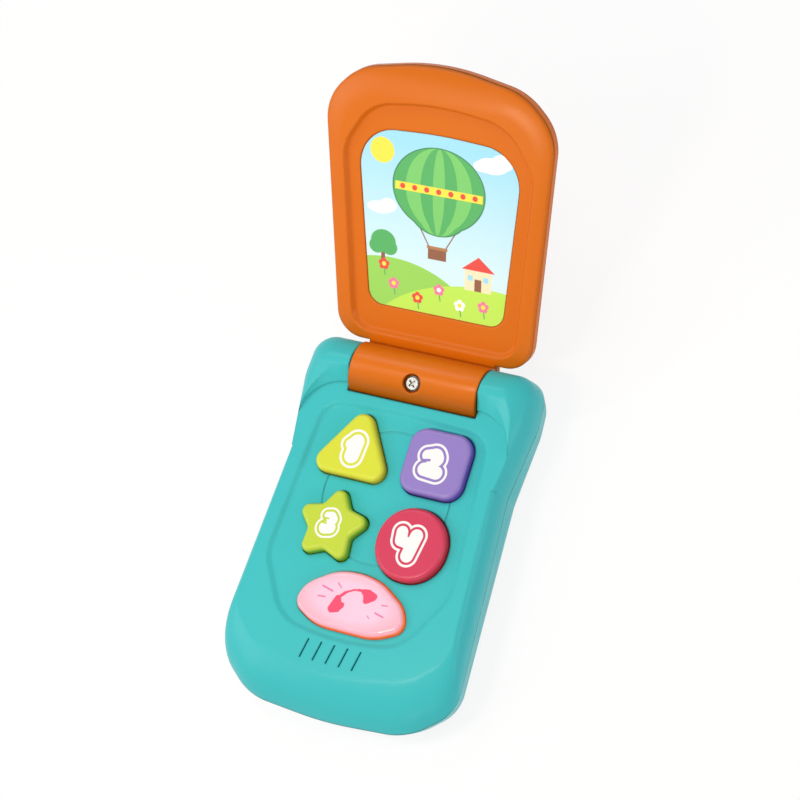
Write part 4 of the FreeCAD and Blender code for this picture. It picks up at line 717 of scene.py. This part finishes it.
def in_view(tree):
    """1 for what the camera sees, itself or in a gloss or a lens, and 0 for the light on the toy."""
    rays = tree.nodes.new("ShaderNodeLightPath")
    camera_ray, glossy_ray, lens_ray = (
        Field(tree, rays.outputs[f"Is {kind} Ray"]) for kind in ("Camera", "Glossy", "Transmission")
    )
    return (camera_ray + glossy_ray + lens_ray).math("MINIMUM", 1.0)


bpy.ops.mesh.primitive_plane_add(size=6.0, location=(0, 0, 0))
floor = bpy.context.active_object
floor.name = "floor"
PAPER = {"Base_Color": (0.92, 0.92, 0.92, 1), "Roughness": 0.9, "Specular_IOR_Level": 0.1}
PAPER_GLOW = 0.86
paper, shader, place = finish("floor_paper", **PAPER)
tree = paper.node_tree
seen = in_view(tree)
white = seen.node("ShaderNodeEmission", {}, {"Strength": 1.0})
lit = Field(tree, shader.outputs[0])
both = seen.node("ShaderNodeMixShader", {}, {0: seen * PAPER_GLOW, 1: lit, 2: white})
tree.links.new(both.socket, tree.nodes["Material Output"].inputs[0])
floor.data.materials.append(paper)

SKY_LIGHT, SKY_EXTRA_IN_VIEW = 0.50, 0.46
world = bpy.data.worlds.new("studio")
bpy.context.scene.world = world
world.use_nodes = True
sky = world.node_tree.nodes["Background"]
sky.inputs["Color"].default_value = (1, 1, 1, 1)
wire(sky, Strength=in_view(world.node_tree) * SKY_EXTRA_IN_VIEW + SKY_LIGHT)


def softbox(name, place, aim, width, height, power, colour=(1, 1, 1)):
    """A rectangular lamp that faces a point."""
    lamp = bpy.data.lights.new(name, "AREA")
    lamp.shape = "RECTANGLE"
    lamp.size = width
    lamp.size_y = height
    lamp.energy = power
    lamp.color = colour
    item = bpy.data.objects.new(name, lamp)
    bpy.context.scene.collection.objects.link(item)
    item.location = place
    item.rotation_euler = (Vector(aim) - Vector(place)).to_track_quat("-Z", "Y").to_euler()


MIDDLE = (0, 0.03, 0.02)
WARM = (1.0, 0.86, 0.62)
softbox("key_softbox", (-0.78, -0.34, 0.62), MIDDLE, 0.55, 0.40, 2.6)
softbox("front_softbox", (0.25, -0.95, 0.42), MIDDLE, 0.40, 0.25, 0.9)
softbox("right_fill", (0.90, 0.06, 0.24), MIDDLE, 0.40, 0.22, 1.3)
softbox("crease_lamp", (-0.43, -0.24, 0.79), (0, -0.03, 0.02), 0.09, 0.09, 0.30)
softbox("barrel_strip", (-0.37, 0.50, 0.72), (0, 0.05, 0.02), 0.40, 0.05, 1.3)
softbox("right_strip", (0.32, 0.13, 0.87), (0.03, 0.0, 0.02), 0.06, 0.20, 0.8)
softbox("lid_sheen", (-0.044, -0.068, 0.284), (0.026, 0.130, 0.070), 0.07, 0.03, 0.34, WARM)

camera = bpy.data.cameras.new("camera")
camera.lens = 130.5
camera.sensor_width = 36.0
camera.shift_x = -0.0131375
camera.shift_y = 0.0057
camera.clip_start = 0.01
viewer = bpy.data.objects.new("camera", camera)
bpy.context.scene.collection.objects.link(viewer)
viewer.matrix_world = Matrix((
    (0.88823928, -0.19926257, 0.41391473, 0.37786),
    (0.29516865, 0.93797681, -0.18186526, -0.12370),
    (-0.35200348, 0.28371452, 0.89196391, 0.83578),
    (0, 0, 0, 1),
))
bpy.context.scene.camera = viewer
bpy.context.scene.view_settings.view_transform = "Standard"
